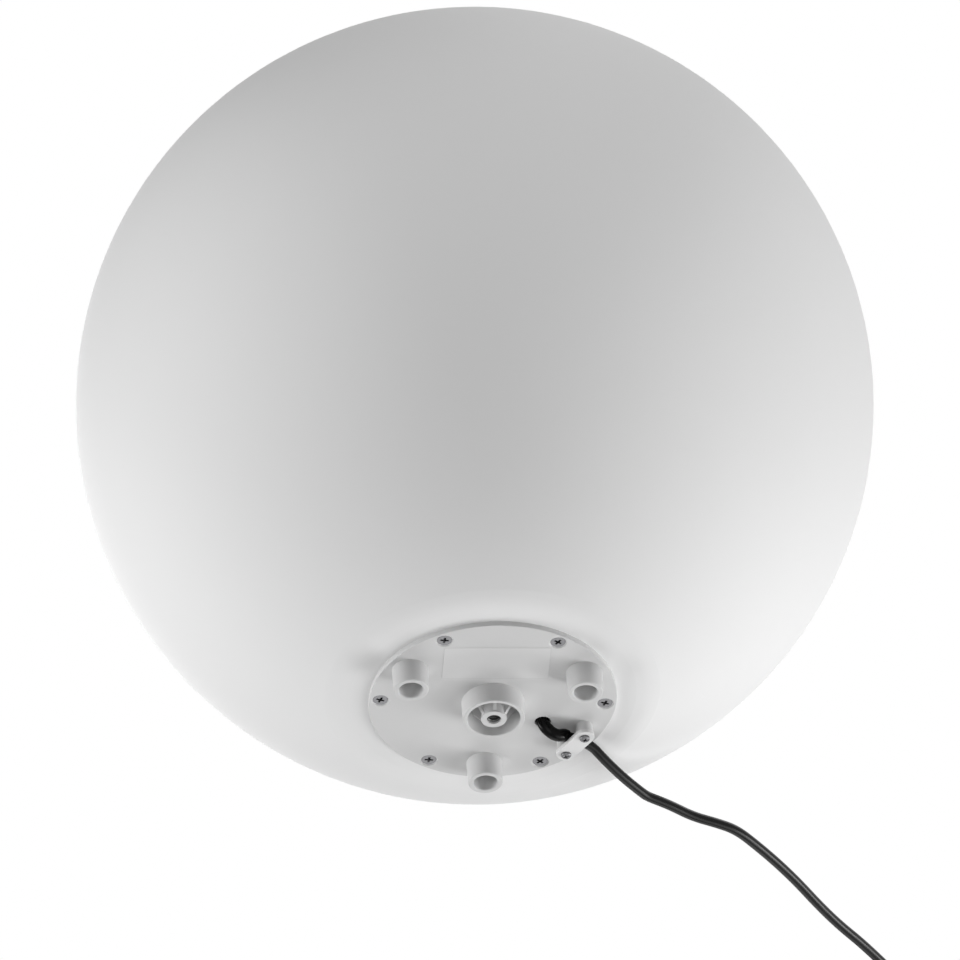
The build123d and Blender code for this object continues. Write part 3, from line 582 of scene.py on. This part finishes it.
def pan_screw_mesh(name, radius, height, shank, length):
    """Pan-head screw: a flat top, a rounded side and a low upright edge."""
    flat = 0.45
    rounded = 0.55
    edge = 0.35
    crown = 0.65
    steps = 7
    neck = 0.0004
    outline = [(0, -height), (radius * flat, -height)]
    for number in range(1, steps + 1):
        turn = math.radians(90 * number / steps)
        reach = radius * (flat + rounded * math.sin(turn))
        outline.append((reach, -height * (edge + crown * math.cos(turn))))
    outline += [(radius, 0), (shank, 0), (shank, neck)]
    return screw_mesh(
        name,
        outline,
        shank,
        length,
        thread_depth=0.0003,
        pitch=0.0011,
        reach=radius * 0.62,
        width=radius * 0.32,
        depth=0.0016,
    )


def beside(place, aside, height):
    """Point beside the lead's upright plane."""
    return Vector(
        (
            place * math.cos(CABLE_TURN) - aside * math.sin(CABLE_TURN),
            place * math.sin(CABLE_TURN) + aside * math.cos(CABLE_TURN),
            height,
        )
    )


def set_screws(name, mesh, places, turns, material, node, up=True):
    """One screw object at each place, each turned as its driver left it."""
    mesh.materials.append(material)
    for number, (place, turn) in enumerate(zip(places, turns), 1):
        screw = bpy.data.objects.new(f"{name}_{number}", mesh)
        bpy.context.scene.collection.objects.link(screw)
        screw.location = place
        screw.rotation_euler = (0 if up else math.pi, 0, math.radians(turn))
        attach(screw, LAMP)
        if number == 1:
            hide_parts(node)


# ---------------------------------------------------------------- lead
# Route of the free lead, the same points as the source's, in metres.
LEAD_ROUTE = [
    (0.05794, 0.03345, 0.01160),
    (0.06357, 0.03670, 0.01160),
    (0.07150, 0.04500, 0.00780),
    (0.08400, 0.05820, 0.00430),
    (0.09660, 0.07150, 0.00315),
    (0.10120, 0.07630, 0.00315),
    (0.10740, 0.07990, 0.00315),
    (0.11700, 0.08560, 0.00315),
    (0.13200, 0.09660, 0.00315),
    (0.14750, 0.10300, 0.00315),
    (0.16050, 0.10980, 0.00315),
    (0.17450, 0.12520, 0.00315),
    (0.19050, 0.14440, 0.00315),
    (0.20550, 0.16440, 0.00315),
    (0.22150, 0.18800, 0.00315),
    (0.23720, 0.20900, 0.00315),
    (0.25330, 0.22760, 0.00315),
    (0.26900, 0.24800, 0.00315),
    (0.28650, 0.27180, 0.00315),
]
COIL_ENTRY = Vector((0.325, 0.315, 0.00435))
COIL_HEADING = math.radians(50)
COIL_ENTRY_RUN = 0.0155
COIL_LAYERS = 4
HALF_TURNS = 8
LAST_LAYER_HALF_TURNS = 9
TURN_STEP = 0.0036
REVERSE_STEP = 0.0043
LAYER_RISE = 0.0067
POINTS_A_HALF_TURN = 10

# The lead's tail, down from the coil's last turn to the plug: shares of its run and of its drop.
PLUG_HEIGHT = 0.01305
TAIL_RUN = 0.050
TAIL_DROP = ((0.24, 0.0), (0.5, 0.5), (0.76, 1.0), (1.0, 1.0))


def coil_points(outer, diameter):
    """Control points of the coil's turns, from where the lead comes in to where the plug starts."""
    ahead = Vector((math.cos(COIL_HEADING), math.sin(COIL_HEADING), 0))
    out = Vector((math.sin(COIL_HEADING), -math.cos(COIL_HEADING), 0))
    centre = COIL_ENTRY - out * outer

    def at(x, y, height):
        spot = centre + out * x + ahead * y
        return (spot.x, spot.y, height)

    step_turn = math.pi / POINTS_A_HALF_TURN
    spread = 1 / math.cos(step_turn / 2)
    points = [
        at(outer, -diameter - COIL_ENTRY_RUN, COIL_ENTRY.z),
        at(outer, -diameter, COIL_ENTRY.z),
    ]
    side = 1
    radius = outer
    height = COIL_ENTRY.z
    for layer in range(COIL_LAYERS):
        steps = []
        topmost = layer == COIL_LAYERS - 1
        half_turns = LAST_LAYER_HALF_TURNS if topmost else HALF_TURNS
        for half in range(half_turns):
            climbs = (half == 0 and layer > 0) or (half == half_turns - 1 and not topmost)
            steps.append((REVERSE_STEP if climbs else TURN_STEP, 0))
        if not topmost:
            steps.append((0, LAYER_RISE))
        for step, rise in steps:
            step = step if layer % 2 else -step
            middle = -side * step / 2
            reach = (radius + step / 2) * spread
            for number in range(POINTS_A_HALF_TURN):
                turn = (number + 0.5) * step_turn
                lift = rise * (1 - math.cos(turn)) / 2
                points.append(
                    at(
                        middle + side * reach * math.cos(turn),
                        side * reach * math.sin(turn),
                        height + lift,
                    )
                )
            side = -side
            radius += step
            height += rise
    fall = height - PLUG_HEIGHT
    for share, drop in TAIL_DROP:
        points.append(at(side * radius, side * share * TAIL_RUN, height - drop * fall))
    points.append(at(side * radius, side * (TAIL_RUN + diameter), PLUG_HEIGHT))
    return points


class GLOBE_OT_lead(bpy.types.Operator):
    """Draws the rubber lead: its free run on the ground, its coil and its end in the plug."""

    bl_idname = "globe.lead"
    bl_label = "Lead"

    def execute(self, context):
        sizes = context.scene.globe_sizes
        finishes = context.scene.globe_finishes
        points = LEAD_ROUTE + coil_points(sizes.coil_radius, sizes.cord_diameter)
        line = bpy.data.curves.new("lead", "CURVE")
        line.dimensions = "3D"
        line.resolution_u = 6
        line.bevel_depth = sizes.cord_diameter / 2
        line.bevel_resolution = 6
        line.use_fill_caps = True
        spline = line.splines.new("NURBS")
        spline.points.add(len(points) - 1)
        for point, spot in zip(spline.points, points):
            point.co = (*spot, 1)
        spline.order_u = 3
        spline.use_endpoint_u = True
        rubber = soft_rubber("lead_rubber", finishes.lead, gloss=0.25, dust=0.1, shine=0.15)
        line.materials.append(rubber)
        lead = bpy.data.objects.new("lead", line)
        context.scene.collection.objects.link(lead)
        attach(lead, LAMP)
        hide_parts("cord_free", "cord_coil")
        dress(rubber, "cord_held")
        sleeve = bright_gloss(
            "sleeve_plastic", finishes.sleeve, gloss=0.16, ripple=0.005, depth=0.0004, shine=0.07
        )
        dress(sleeve, "cable_sleeve")
        dress(woven_strap(), "coil_tie")
        return {"FINISHED"}


class GLOBE_OT_plug(bpy.types.Operator):
    """Finishes the plug and its pins."""

    bl_idname = "globe.plug"
    bl_label = "Plug"

    def execute(self, context):
        finishes = context.scene.globe_finishes
        rubber = soft_rubber("plug_rubber", shade_of(finishes.lead, 2.0), gloss=0.46, dust=0.5)
        dress(rubber, "plug_body")
        nickel = turned_metal("pin_nickel", slot_colour("pin_metal"), gloss=0.22, wear=0.08)
        dress(nickel, "plug_pins")
        return {"FINISHED"}


# ---------------------------------------------------------------- ball and base plate
# Surface of the base plate's plastic, which the clamp's shares, and how much paler the clamp is.
PLATE_GRAIN = {"grain": 0.00035, "depth": 0.00003, "mottle": 0.02, "wave": 0.008}
CLAMP_SHADE = 1.2

# The label's middle on the plate's underside, its turn, its corners, and the width and shade of the
# darker band round its rim.
LABEL_PLACE = (-0.0011, -0.0385, 0.0155)
LABEL_TURN = math.radians(-1.35)
LABEL_CORNER = 0.0012
LABEL_DARK_RIM_WIDTH = 0.0007
LABEL_DARK_RIM_SHADE = 0.86


def label_mesh(width, height, thickness):
    """Thin sheet with rounded corners, a little smaller on the face that is seen."""
    face_width = 0.998
    face_height = 0.996
    outline = []
    for x, y, first in ((1, 1, 0), (-1, 1, 90), (-1, -1, 180), (1, -1, 270)):
        centre = (x * (width / 2 - LABEL_CORNER), y * (height / 2 - LABEL_CORNER))
        outline += arc(centre, LABEL_CORNER, first, first + 90, 6)
    count = len(outline)
    verts = [(x, y, 0) for x, y in outline]
    verts += [(x * face_width, y * face_height, -thickness) for x, y in outline]
    faces = [list(range(count)), list(range(2 * count - 1, count - 1, -1))]
    for number in range(count):
        after = (number + 1) % count
        faces.append([after, number, count + number, count + after])
    mesh = bpy.data.meshes.new("bare_label")
    mesh.from_pydata(verts, [], faces)
    return mesh


def label_vinyl(width, height, colour):
    """Satin vinyl, a little darker round the rim."""
    vinyl = new_finish("label_vinyl")
    across, along, up = vinyl.axes()
    # Darker in a narrow band round the rim.
    rim_x = (across * across).root().ramp(width / 2 - LABEL_DARK_RIM_WIDTH, width / 2)
    rim_y = (along * along).root().ramp(height / 2 - LABEL_DARK_RIM_WIDTH, height / 2)
    dark_rim = rim_x.larger(rim_y)
    slow = vinyl.noise(0.004, detail=3.0)
    return vinyl.surface(
        Base_Color=vinyl.tint(dark_rim, colour, shade_of(colour, LABEL_DARK_RIM_SHADE)),
        Roughness=0.36 + slow.swing(0.1),
        Normal=vinyl.relief(slow, 0.00005, strength=0.4),
    )


class GLOBE_OT_ball(bpy.types.Operator):
    """Finishes the ball's plastic and the gasket's foam."""

    bl_idname = "globe.ball"
    bl_label = "Ball"

    def execute(self, context):
        finishes = context.scene.globe_finishes
        plastic = moulded_plastic(
            "ball_plastic",
            finishes.ball,
            finishes.ball_gloss,
            grain=0.0006,
            depth=0.00003,
            mottle=0.012,
            wave=0.02,
        )
        dress(plastic, "globe_shell")
        dress(soft_rubber("gasket_foam", slot_colour("foam_rubber"), gloss=0.8), "gasket")
        return {"FINISHED"}


class GLOBE_OT_plate(bpy.types.Operator):
    """Finishes the base plate, the clamp and the pillar, and sticks the bare label on the plate."""

    bl_idname = "globe.plate"
    bl_label = "Base plate"

    def execute(self, context):
        sizes = context.scene.globe_sizes
        finishes = context.scene.globe_finishes
        plastic = moulded_plastic(
            "plate_plastic", finishes.plate, finishes.plate_gloss, **PLATE_GRAIN
        )
        dress(plastic, "base_plate", "holder_pillar")
        paler = shade_of(finishes.plate, CLAMP_SHADE)
        dress(moulded_plastic("clamp_plastic", paler, finishes.plate_gloss, **PLATE_GRAIN), "clamp_bar")
        mesh = label_mesh(sizes.label_width, sizes.label_height, sizes.label_thickness)
        vinyl = label_vinyl(sizes.label_width, sizes.label_height, finishes.label)
        label = piece("bare_label", mesh, vinyl, "plate_plastic")
        label.location = LABEL_PLACE
        label.rotation_euler = (0, 0, LABEL_TURN)
        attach(label, LAMP)
        return {"FINISHED"}


class GLOBE_OT_insert(bpy.types.Operator):
    """Draws the spike's threaded insert."""

    bl_idname = "globe.insert"
    bl_label = "Spike insert"

    def execute(self, context):
        sizes = context.scene.globe_sizes
        finishes = context.scene.globe_finishes
        low = 0.0040
        high = 0.0160
        outer = 0.0063
        bore = 0.003325
        bevel = 0.0004
        thread_depth = 0.0007
        mouth_flare = 0.0007
        top_flare = 0.0005
        start = low + 0.0006
        end = high - 0.0006
        outline = [(outer, low + bevel), (outer, high - bevel), (outer - bevel, high)]
        outline += [(bore + top_flare, high)]
        outline += list(reversed(climb(start, end, sizes.spike_pitch, bore)))
        outline += [(bore + mouth_flare, low), (outer - bevel, low)]
        mesh = lathe(
            "spike_insert_threaded",
            outline,
            64,
            closed=True,
            thread=(start, end, sizes.spike_pitch, thread_depth),
        )
        # The insert's near-black colour is painted shade of its deep bore.
        metal = turned_metal("insert_metal", finishes.insert, gloss=0.24, wear=0.1)
        insert = piece("spike_insert_threaded", mesh, metal, "insert_brass", "spike_insert")
        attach(insert, LAMP)
        return {"FINISHED"}


# ---------------------------------------------------------------- screws
# Plate screws: the radius of their circle, the height of their heads and each one's turn.
PLATE_SCREW_CIRCLE = 0.0685
PLATE_SCREW_HEIGHT = 0.0161
PLATE_SCREW_TURNS = (18, 40, 4, 20, 5, 33)

# Pairs of pan-head screws: their place along the lead's upright plane or aside of it, and the
# height of the face that their heads sit on.
CLAMP_SCREW_PLACE = 0.0609
CLAMP_SCREW_ASIDE = 0.0098
CLAMP_SCREW_HEIGHT = 0.0060
PILLAR_SCREW_ASIDE = 0.0194
PILLAR_SCREW_HEIGHT = 0.0267
HOLDER_SCREW_PLACE = 0.009
HOLDER_SCREW_HEIGHT = 0.0507


class GLOBE_OT_screws(bpy.types.Operator):
    """Draws the cross-head screws of the plate, the clamp, the pillar and the lamp holder."""

    bl_idname = "globe.screws"
    bl_label = "Screws"

    def execute(self, context):
        sizes = context.scene.globe_sizes
        finishes = context.scene.globe_finishes
        steel = turned_metal("screw_steel", finishes.screw, gloss=0.34)

        plate = plate_screw_mesh(sizes.head_radius)
        places = []
        for number in range(len(PLATE_SCREW_TURNS)):
            turn = math.radians(60 * number)
            x = PLATE_SCREW_CIRCLE * math.cos(turn)
            y = PLATE_SCREW_CIRCLE * math.sin(turn)
            places.append((x, y, PLATE_SCREW_HEIGHT))
        set_screws("plate_screw", plate, places, PLATE_SCREW_TURNS, steel, "plate_screws")

        clamp = pan_screw_mesh("clamp_screw", 0.0031, 0.0019, shank=0.00145, length=0.009)
        places = [
            beside(CLAMP_SCREW_PLACE, side * CLAMP_SCREW_ASIDE, CLAMP_SCREW_HEIGHT)
            for side in (-1, 1)
        ]
        set_screws("clamp_screw", clamp, places, (17, 63), steel, "clamp_screws")

        pillar = pan_screw_mesh("pillar_screw", 0.0029, 0.0018, shank=0.0014, length=0.009)
        places = [beside(0, side * PILLAR_SCREW_ASIDE, PILLAR_SCREW_HEIGHT) for side in (-1, 1)]
        set_screws("pillar_screw", pillar, places, (40, 5), steel, "pillar_screws", up=False)

        holder = pan_screw_mesh("holder_screw", 0.0029, 0.0018, shank=0.0014, length=0.008)
        places = [beside(side * HOLDER_SCREW_PLACE, 0, HOLDER_SCREW_HEIGHT) for side in (-1, 1)]
        set_screws("holder_screw", holder, places, (70, 31), steel, "holder_screws")
        return {"FINISHED"}


# ---------------------------------------------------------------- inside the ball
class GLOBE_OT_holder(bpy.types.Operator):
    """Finishes the terminal block, the cores and the lamp holder, and draws its screw shell."""

    bl_idname = "globe.holder"
    bl_label = "Lamp holder"

    def execute(self, context):
        sizes = context.scene.globe_sizes
        finishes = context.scene.globe_finishes
        dress(bright_gloss("block_plastic", slot_colour("block_plastic"), 0.3), "terminal_block")
        brass = turned_metal("contact_brass", finishes.brass, gloss=0.26, wear=0.12)
        dress(brass, "terminal_screws", "centre_contact")
        dress(core_insulation(), "supply_cores", "holder_cores")
        dress(bright_gloss("holder_plastic", slot_colour("holder_plastic"), 0.26), "lamp_holder")
        low = 0.0704
        high = 0.0944
        outer = 0.0141
        plain_bore = 0.01375
        crest = 0.01352
        thread_depth = 0.0004
        start = low + 0.001
        end = high - 0.001
        outline = [(outer, low), (outer, high), (plain_bore, high)]
        outline += list(reversed(climb(start, end, sizes.cap_pitch, crest, per_turn=14)))
        outline += [(plain_bore, low)]
        mesh = lathe(
            "screw_shell",
            outline,
            72,
            closed=True,
            thread=(start, end, sizes.cap_pitch, thread_depth),
        )
        rolled = turned_metal("holder_metal", slot_colour("holder_metal"), gloss=0.28, wear=0.08)
        shell = piece("screw_shell", mesh, rolled, "holder_metal", "thread_sleeve")
        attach(shell, LAMP)
        return {"FINISHED"}


class GLOBE_OT_bulb(bpy.types.Operator):
    """Draws the bulb's screw cap and finishes the bulb."""

    bl_idname = "globe.bulb"
    bl_label = "Bulb"

    def execute(self, context):
        sizes = context.scene.globe_sizes
        finishes = context.scene.globe_finishes
        low = 0.0738
        high = 0.0952
        end_radius = 0.0104
        shoulder = 0.0118
        root = 0.0123
        neck = 0.0130
        rim = 0.0132
        thread_depth = 0.0009
        start = low + 0.0016
        end = high - 0.0035
        outline = [(0, low), (end_radius, low), (shoulder, low + 0.0012)]
        outline += climb(start, end, sizes.cap_pitch, root, per_turn=16)
        outline += [(neck, high - 0.0030), (rim, high - 0.0024), (rim, high), (0, high)]
        mesh = lathe(
            "bulb_screw_cap", outline, 72, thread=(start, end, sizes.cap_pitch, thread_depth)
        )
        cap_colour = shade_of(slot_colour("cap_metal"), 0.8)
        rolled = turned_metal("cap_metal", cap_colour, gloss=0.26, wear=0.08)
        cap = piece("bulb_screw_cap", mesh, rolled, "cap_metal", "bulb_cap")
        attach(cap, BULB)
        dress(rolled, "cap_eyelet")
        dress(bright_gloss("cap_glass", slot_colour("cap_glass"), 0.08), "cap_insulator")
        dress(bright_gloss("bulb_plastic", slot_colour("bulb_plastic"), 0.24), "bulb_body")
        frosted = moulded_plastic(
            "bulb_diffuser", finishes.diffuser, gloss=0.5, grain=0.0003, depth=0.00002
        )
        dress(frosted, "bulb_dome")
        return {"FINISHED"}


# ---------------------------------------------------------------- studio
# The photograph's camera, from a fit of the ball, the plate's rim, the feet, the screws and the
# collar that was run apart from this script.
CAMERA_PLACE = (-0.423869, -3.419098, -2.618881)
CAMERA_TURN = tuple(math.radians(turn) for turn in (129.2406, 2.7086, -4.8636))

# Lamps: name, turn round the ball and rise over its middle in degrees, size, share of the power.
# A fit to the photograph's shading, run apart from this script, picked them from a list of
# directions and gave most of the shares. Others of the values were then changed.
LAMP_DISTANCE = 1.8
BALL_CENTRE = Vector((0, 0, 0.25))
LAMPS = [
    ("right_lamp", 8, -32, 0.8, 0.81),
    ("small_right_lamp", 15, -20, 0.6, 0.77),
    ("low_right_lamp", 0, -50, 1.2, 0.88),
    ("high_right_lamp", 0, 50, 1.2, 0.64),
    ("far_left_lamp", 165, -20, 0.6, 0.86),
    ("left_lamp", 180, -20, 1.2, 1.08),
    ("small_left_lamp", 180, -5, 0.6, 0.43),
    ("low_front_lamp", 270, -50, 1.2, 0.55),
    ("front_lamp", 275, 13, 0.8, 0.72),
    ("high_front_lamp", 270, 30, 0.6, 0.53),
    ("low_back_lamp", 90, -50, 1.2, 0.58),
    ("back_lamp", 100, 30, 1.2, 1.30),
]

# The floor reaches this far each way, and is whole up to one distance from the lamp's axis and
# gone from the other.
FLOOR_REACH = 6.0
FLOOR_WHOLE = 0.7
FLOOR_GONE = 1.6


def photograph_camera(scene, lens):
    """The camera that sees the lamp as the photograph does."""
    view = bpy.data.cameras.new("photograph_view")
    view.lens = lens
    view.sensor_width = 36
    view.sensor_fit = "HORIZONTAL"
    view.clip_end = 50
    camera = bpy.data.objects.new("photograph_view", view)
    scene.collection.objects.link(camera)
    camera.location = CAMERA_PLACE
    camera.rotation_euler = CAMERA_TURN
    scene.camera = camera


def soft_lamp(name, turn, rise, size, power):
    """Round lamp that faces the ball's centre from a direction given in degrees."""
    light = bpy.data.lights.new(name, "AREA")
    light.shape = "DISK"
    light.size = size
    light.energy = power
    lamp = bpy.data.objects.new(name, light)
    bpy.context.scene.collection.objects.link(lamp)
    turn = math.radians(turn)
    rise = math.radians(rise)
    level = math.cos(rise)
    way = Vector((level * math.cos(turn), level * math.sin(turn), math.sin(rise)))
    lamp.location = BALL_CENTRE + way * LAMP_DISTANCE
    lamp.rotation_euler = way.to_track_quat("Z", "Y").to_euler()


def studio_world(fill):
    """World that is white where it is seen, also in gloss and through glass, and lights by fill."""
    world = Finish(bpy.data.worlds.new("studio_world"))
    rays = world.rays()
    seen = Signal(world, rays["Is Camera Ray"]).larger(Signal(world, rays["Is Glossy Ray"]))
    seen = seen.larger(Signal(world, rays["Is Transmission Ray"]))
    strength = fill + (1.0 - fill) * seen
    glow = world.add("ShaderNodeBackground", inputs={"Color": (1, 1, 1), "Strength": strength})
    world.add("ShaderNodeOutputWorld", inputs={"Surface": glow})
    return world.owner


def floor_paint(colour, glow_share):
    """Paint that shows only from above, and fades out round the lamp into the white behind it.

    Seen from below it is clear, and it blocks no light. A share of its colour is seen by itself.
    """
    ground = new_finish("floor_paint")
    rays = ground.rays()
    under = ground.add("ShaderNodeNewGeometry", output="Backfacing")
    across, along, up = ground.axes()
    reach = (across * across + along * along).root()
    faded = reach.ramp(FLOOR_WHOLE, FLOOR_GONE)
    shown = Signal(ground, rays["Is Camera Ray"]) * (1.0 - under) * (1.0 - faded)
    paint = ground.add("ShaderNodeBsdfDiffuse", inputs={"Color": colour, "Roughness": 0.0})
    glow = ground.add("ShaderNodeEmission", inputs={"Color": colour, "Strength": 1.0})
    pale = ground.add("ShaderNodeMixShader", inputs={0: glow_share, 1: paint, 2: glow})
    clear = ground.add("ShaderNodeBsdfTransparent", inputs={"Color": (1, 1, 1)})
    mixed = ground.add("ShaderNodeMixShader", inputs={0: shown, 1: clear, 2: pale})
    ground.add("ShaderNodeOutputMaterial", inputs={"Surface": mixed})
    return ground.owner


class GLOBE_OT_studio(bpy.types.Operator):
    """Sets the camera, the lamps, the world and the floor."""

    bl_idname = "globe.studio"
    bl_label = "Studio"

    def execute(self, context):
        scene = context.scene
        studio = scene.globe_studio
        scene.view_settings.view_transform = "Standard"
        photograph_camera(scene, studio.lens)
        for name, turn, rise, size, share in LAMPS:
            soft_lamp(name, turn, rise, size, share * studio.power)
        scene.world = studio_world(studio.fill)

        mesh = bpy.data.meshes.new("floor")
        signs = ((-1, -1), (1, -1), (1, 1), (-1, 1))
        corners = [(x * FLOOR_REACH, y * FLOOR_REACH, 0) for x, y in signs]
        mesh.from_pydata(corners, [], [[0, 1, 2, 3]])
        floor = bpy.data.objects.new("floor", mesh)
        scene.collection.objects.link(floor)
        mesh.materials.append(floor_paint(tuple(studio.floor), studio.floor_glow))
        return {"FINISHED"}


class GLOBE_PT_panel(bpy.types.Panel):
    """Lists the lamp's pieces, sizes and finishes in the sidebar."""

    bl_idname = "GLOBE_PT_panel"
    bl_label = "Garden globe light"
    bl_space_type = "VIEW_3D"
    bl_region_type = "UI"
    bl_category = "Globe light"

    def draw(self, context):
        for operator in OPERATORS:
            self.layout.operator(operator.bl_idname)
        for group in (context.scene.globe_sizes, context.scene.globe_finishes):
            for key in group.__annotations__:
                self.layout.prop(group, key)


OPERATORS = (
    GLOBE_OT_studio,
    GLOBE_OT_lead,
    GLOBE_OT_plug,
    GLOBE_OT_ball,
    GLOBE_OT_plate,
    GLOBE_OT_insert,
    GLOBE_OT_screws,
    GLOBE_OT_holder,
    GLOBE_OT_bulb,
)
CLASSES = (GlobeSizes, GlobeFinishes, GlobeStudio, *OPERATORS, GLOBE_PT_panel)


def register():
    for each in CLASSES:
        bpy.utils.register_class(each)
    bpy.types.Scene.globe_sizes = bpy.props.PointerProperty(type=GlobeSizes)
    bpy.types.Scene.globe_finishes = bpy.props.PointerProperty(type=GlobeFinishes)
    bpy.types.Scene.globe_studio = bpy.props.PointerProperty(type=GlobeStudio)


def unregister():
    del bpy.types.Scene.globe_studio
    del bpy.types.Scene.globe_finishes
    del bpy.types.Scene.globe_sizes
    for each in reversed(CLASSES):
        bpy.utils.unregister_class(each)


def main():
    register()
    bpy.ops.globe.studio()
    bpy.ops.globe.lead()
    bpy.ops.globe.plug()
    bpy.ops.globe.ball()
    bpy.ops.globe.plate()
    bpy.ops.globe.insert()
    bpy.ops.globe.screws()
    bpy.ops.globe.holder()
    bpy.ops.globe.bulb()


if __name__ == "__main__":
    main()
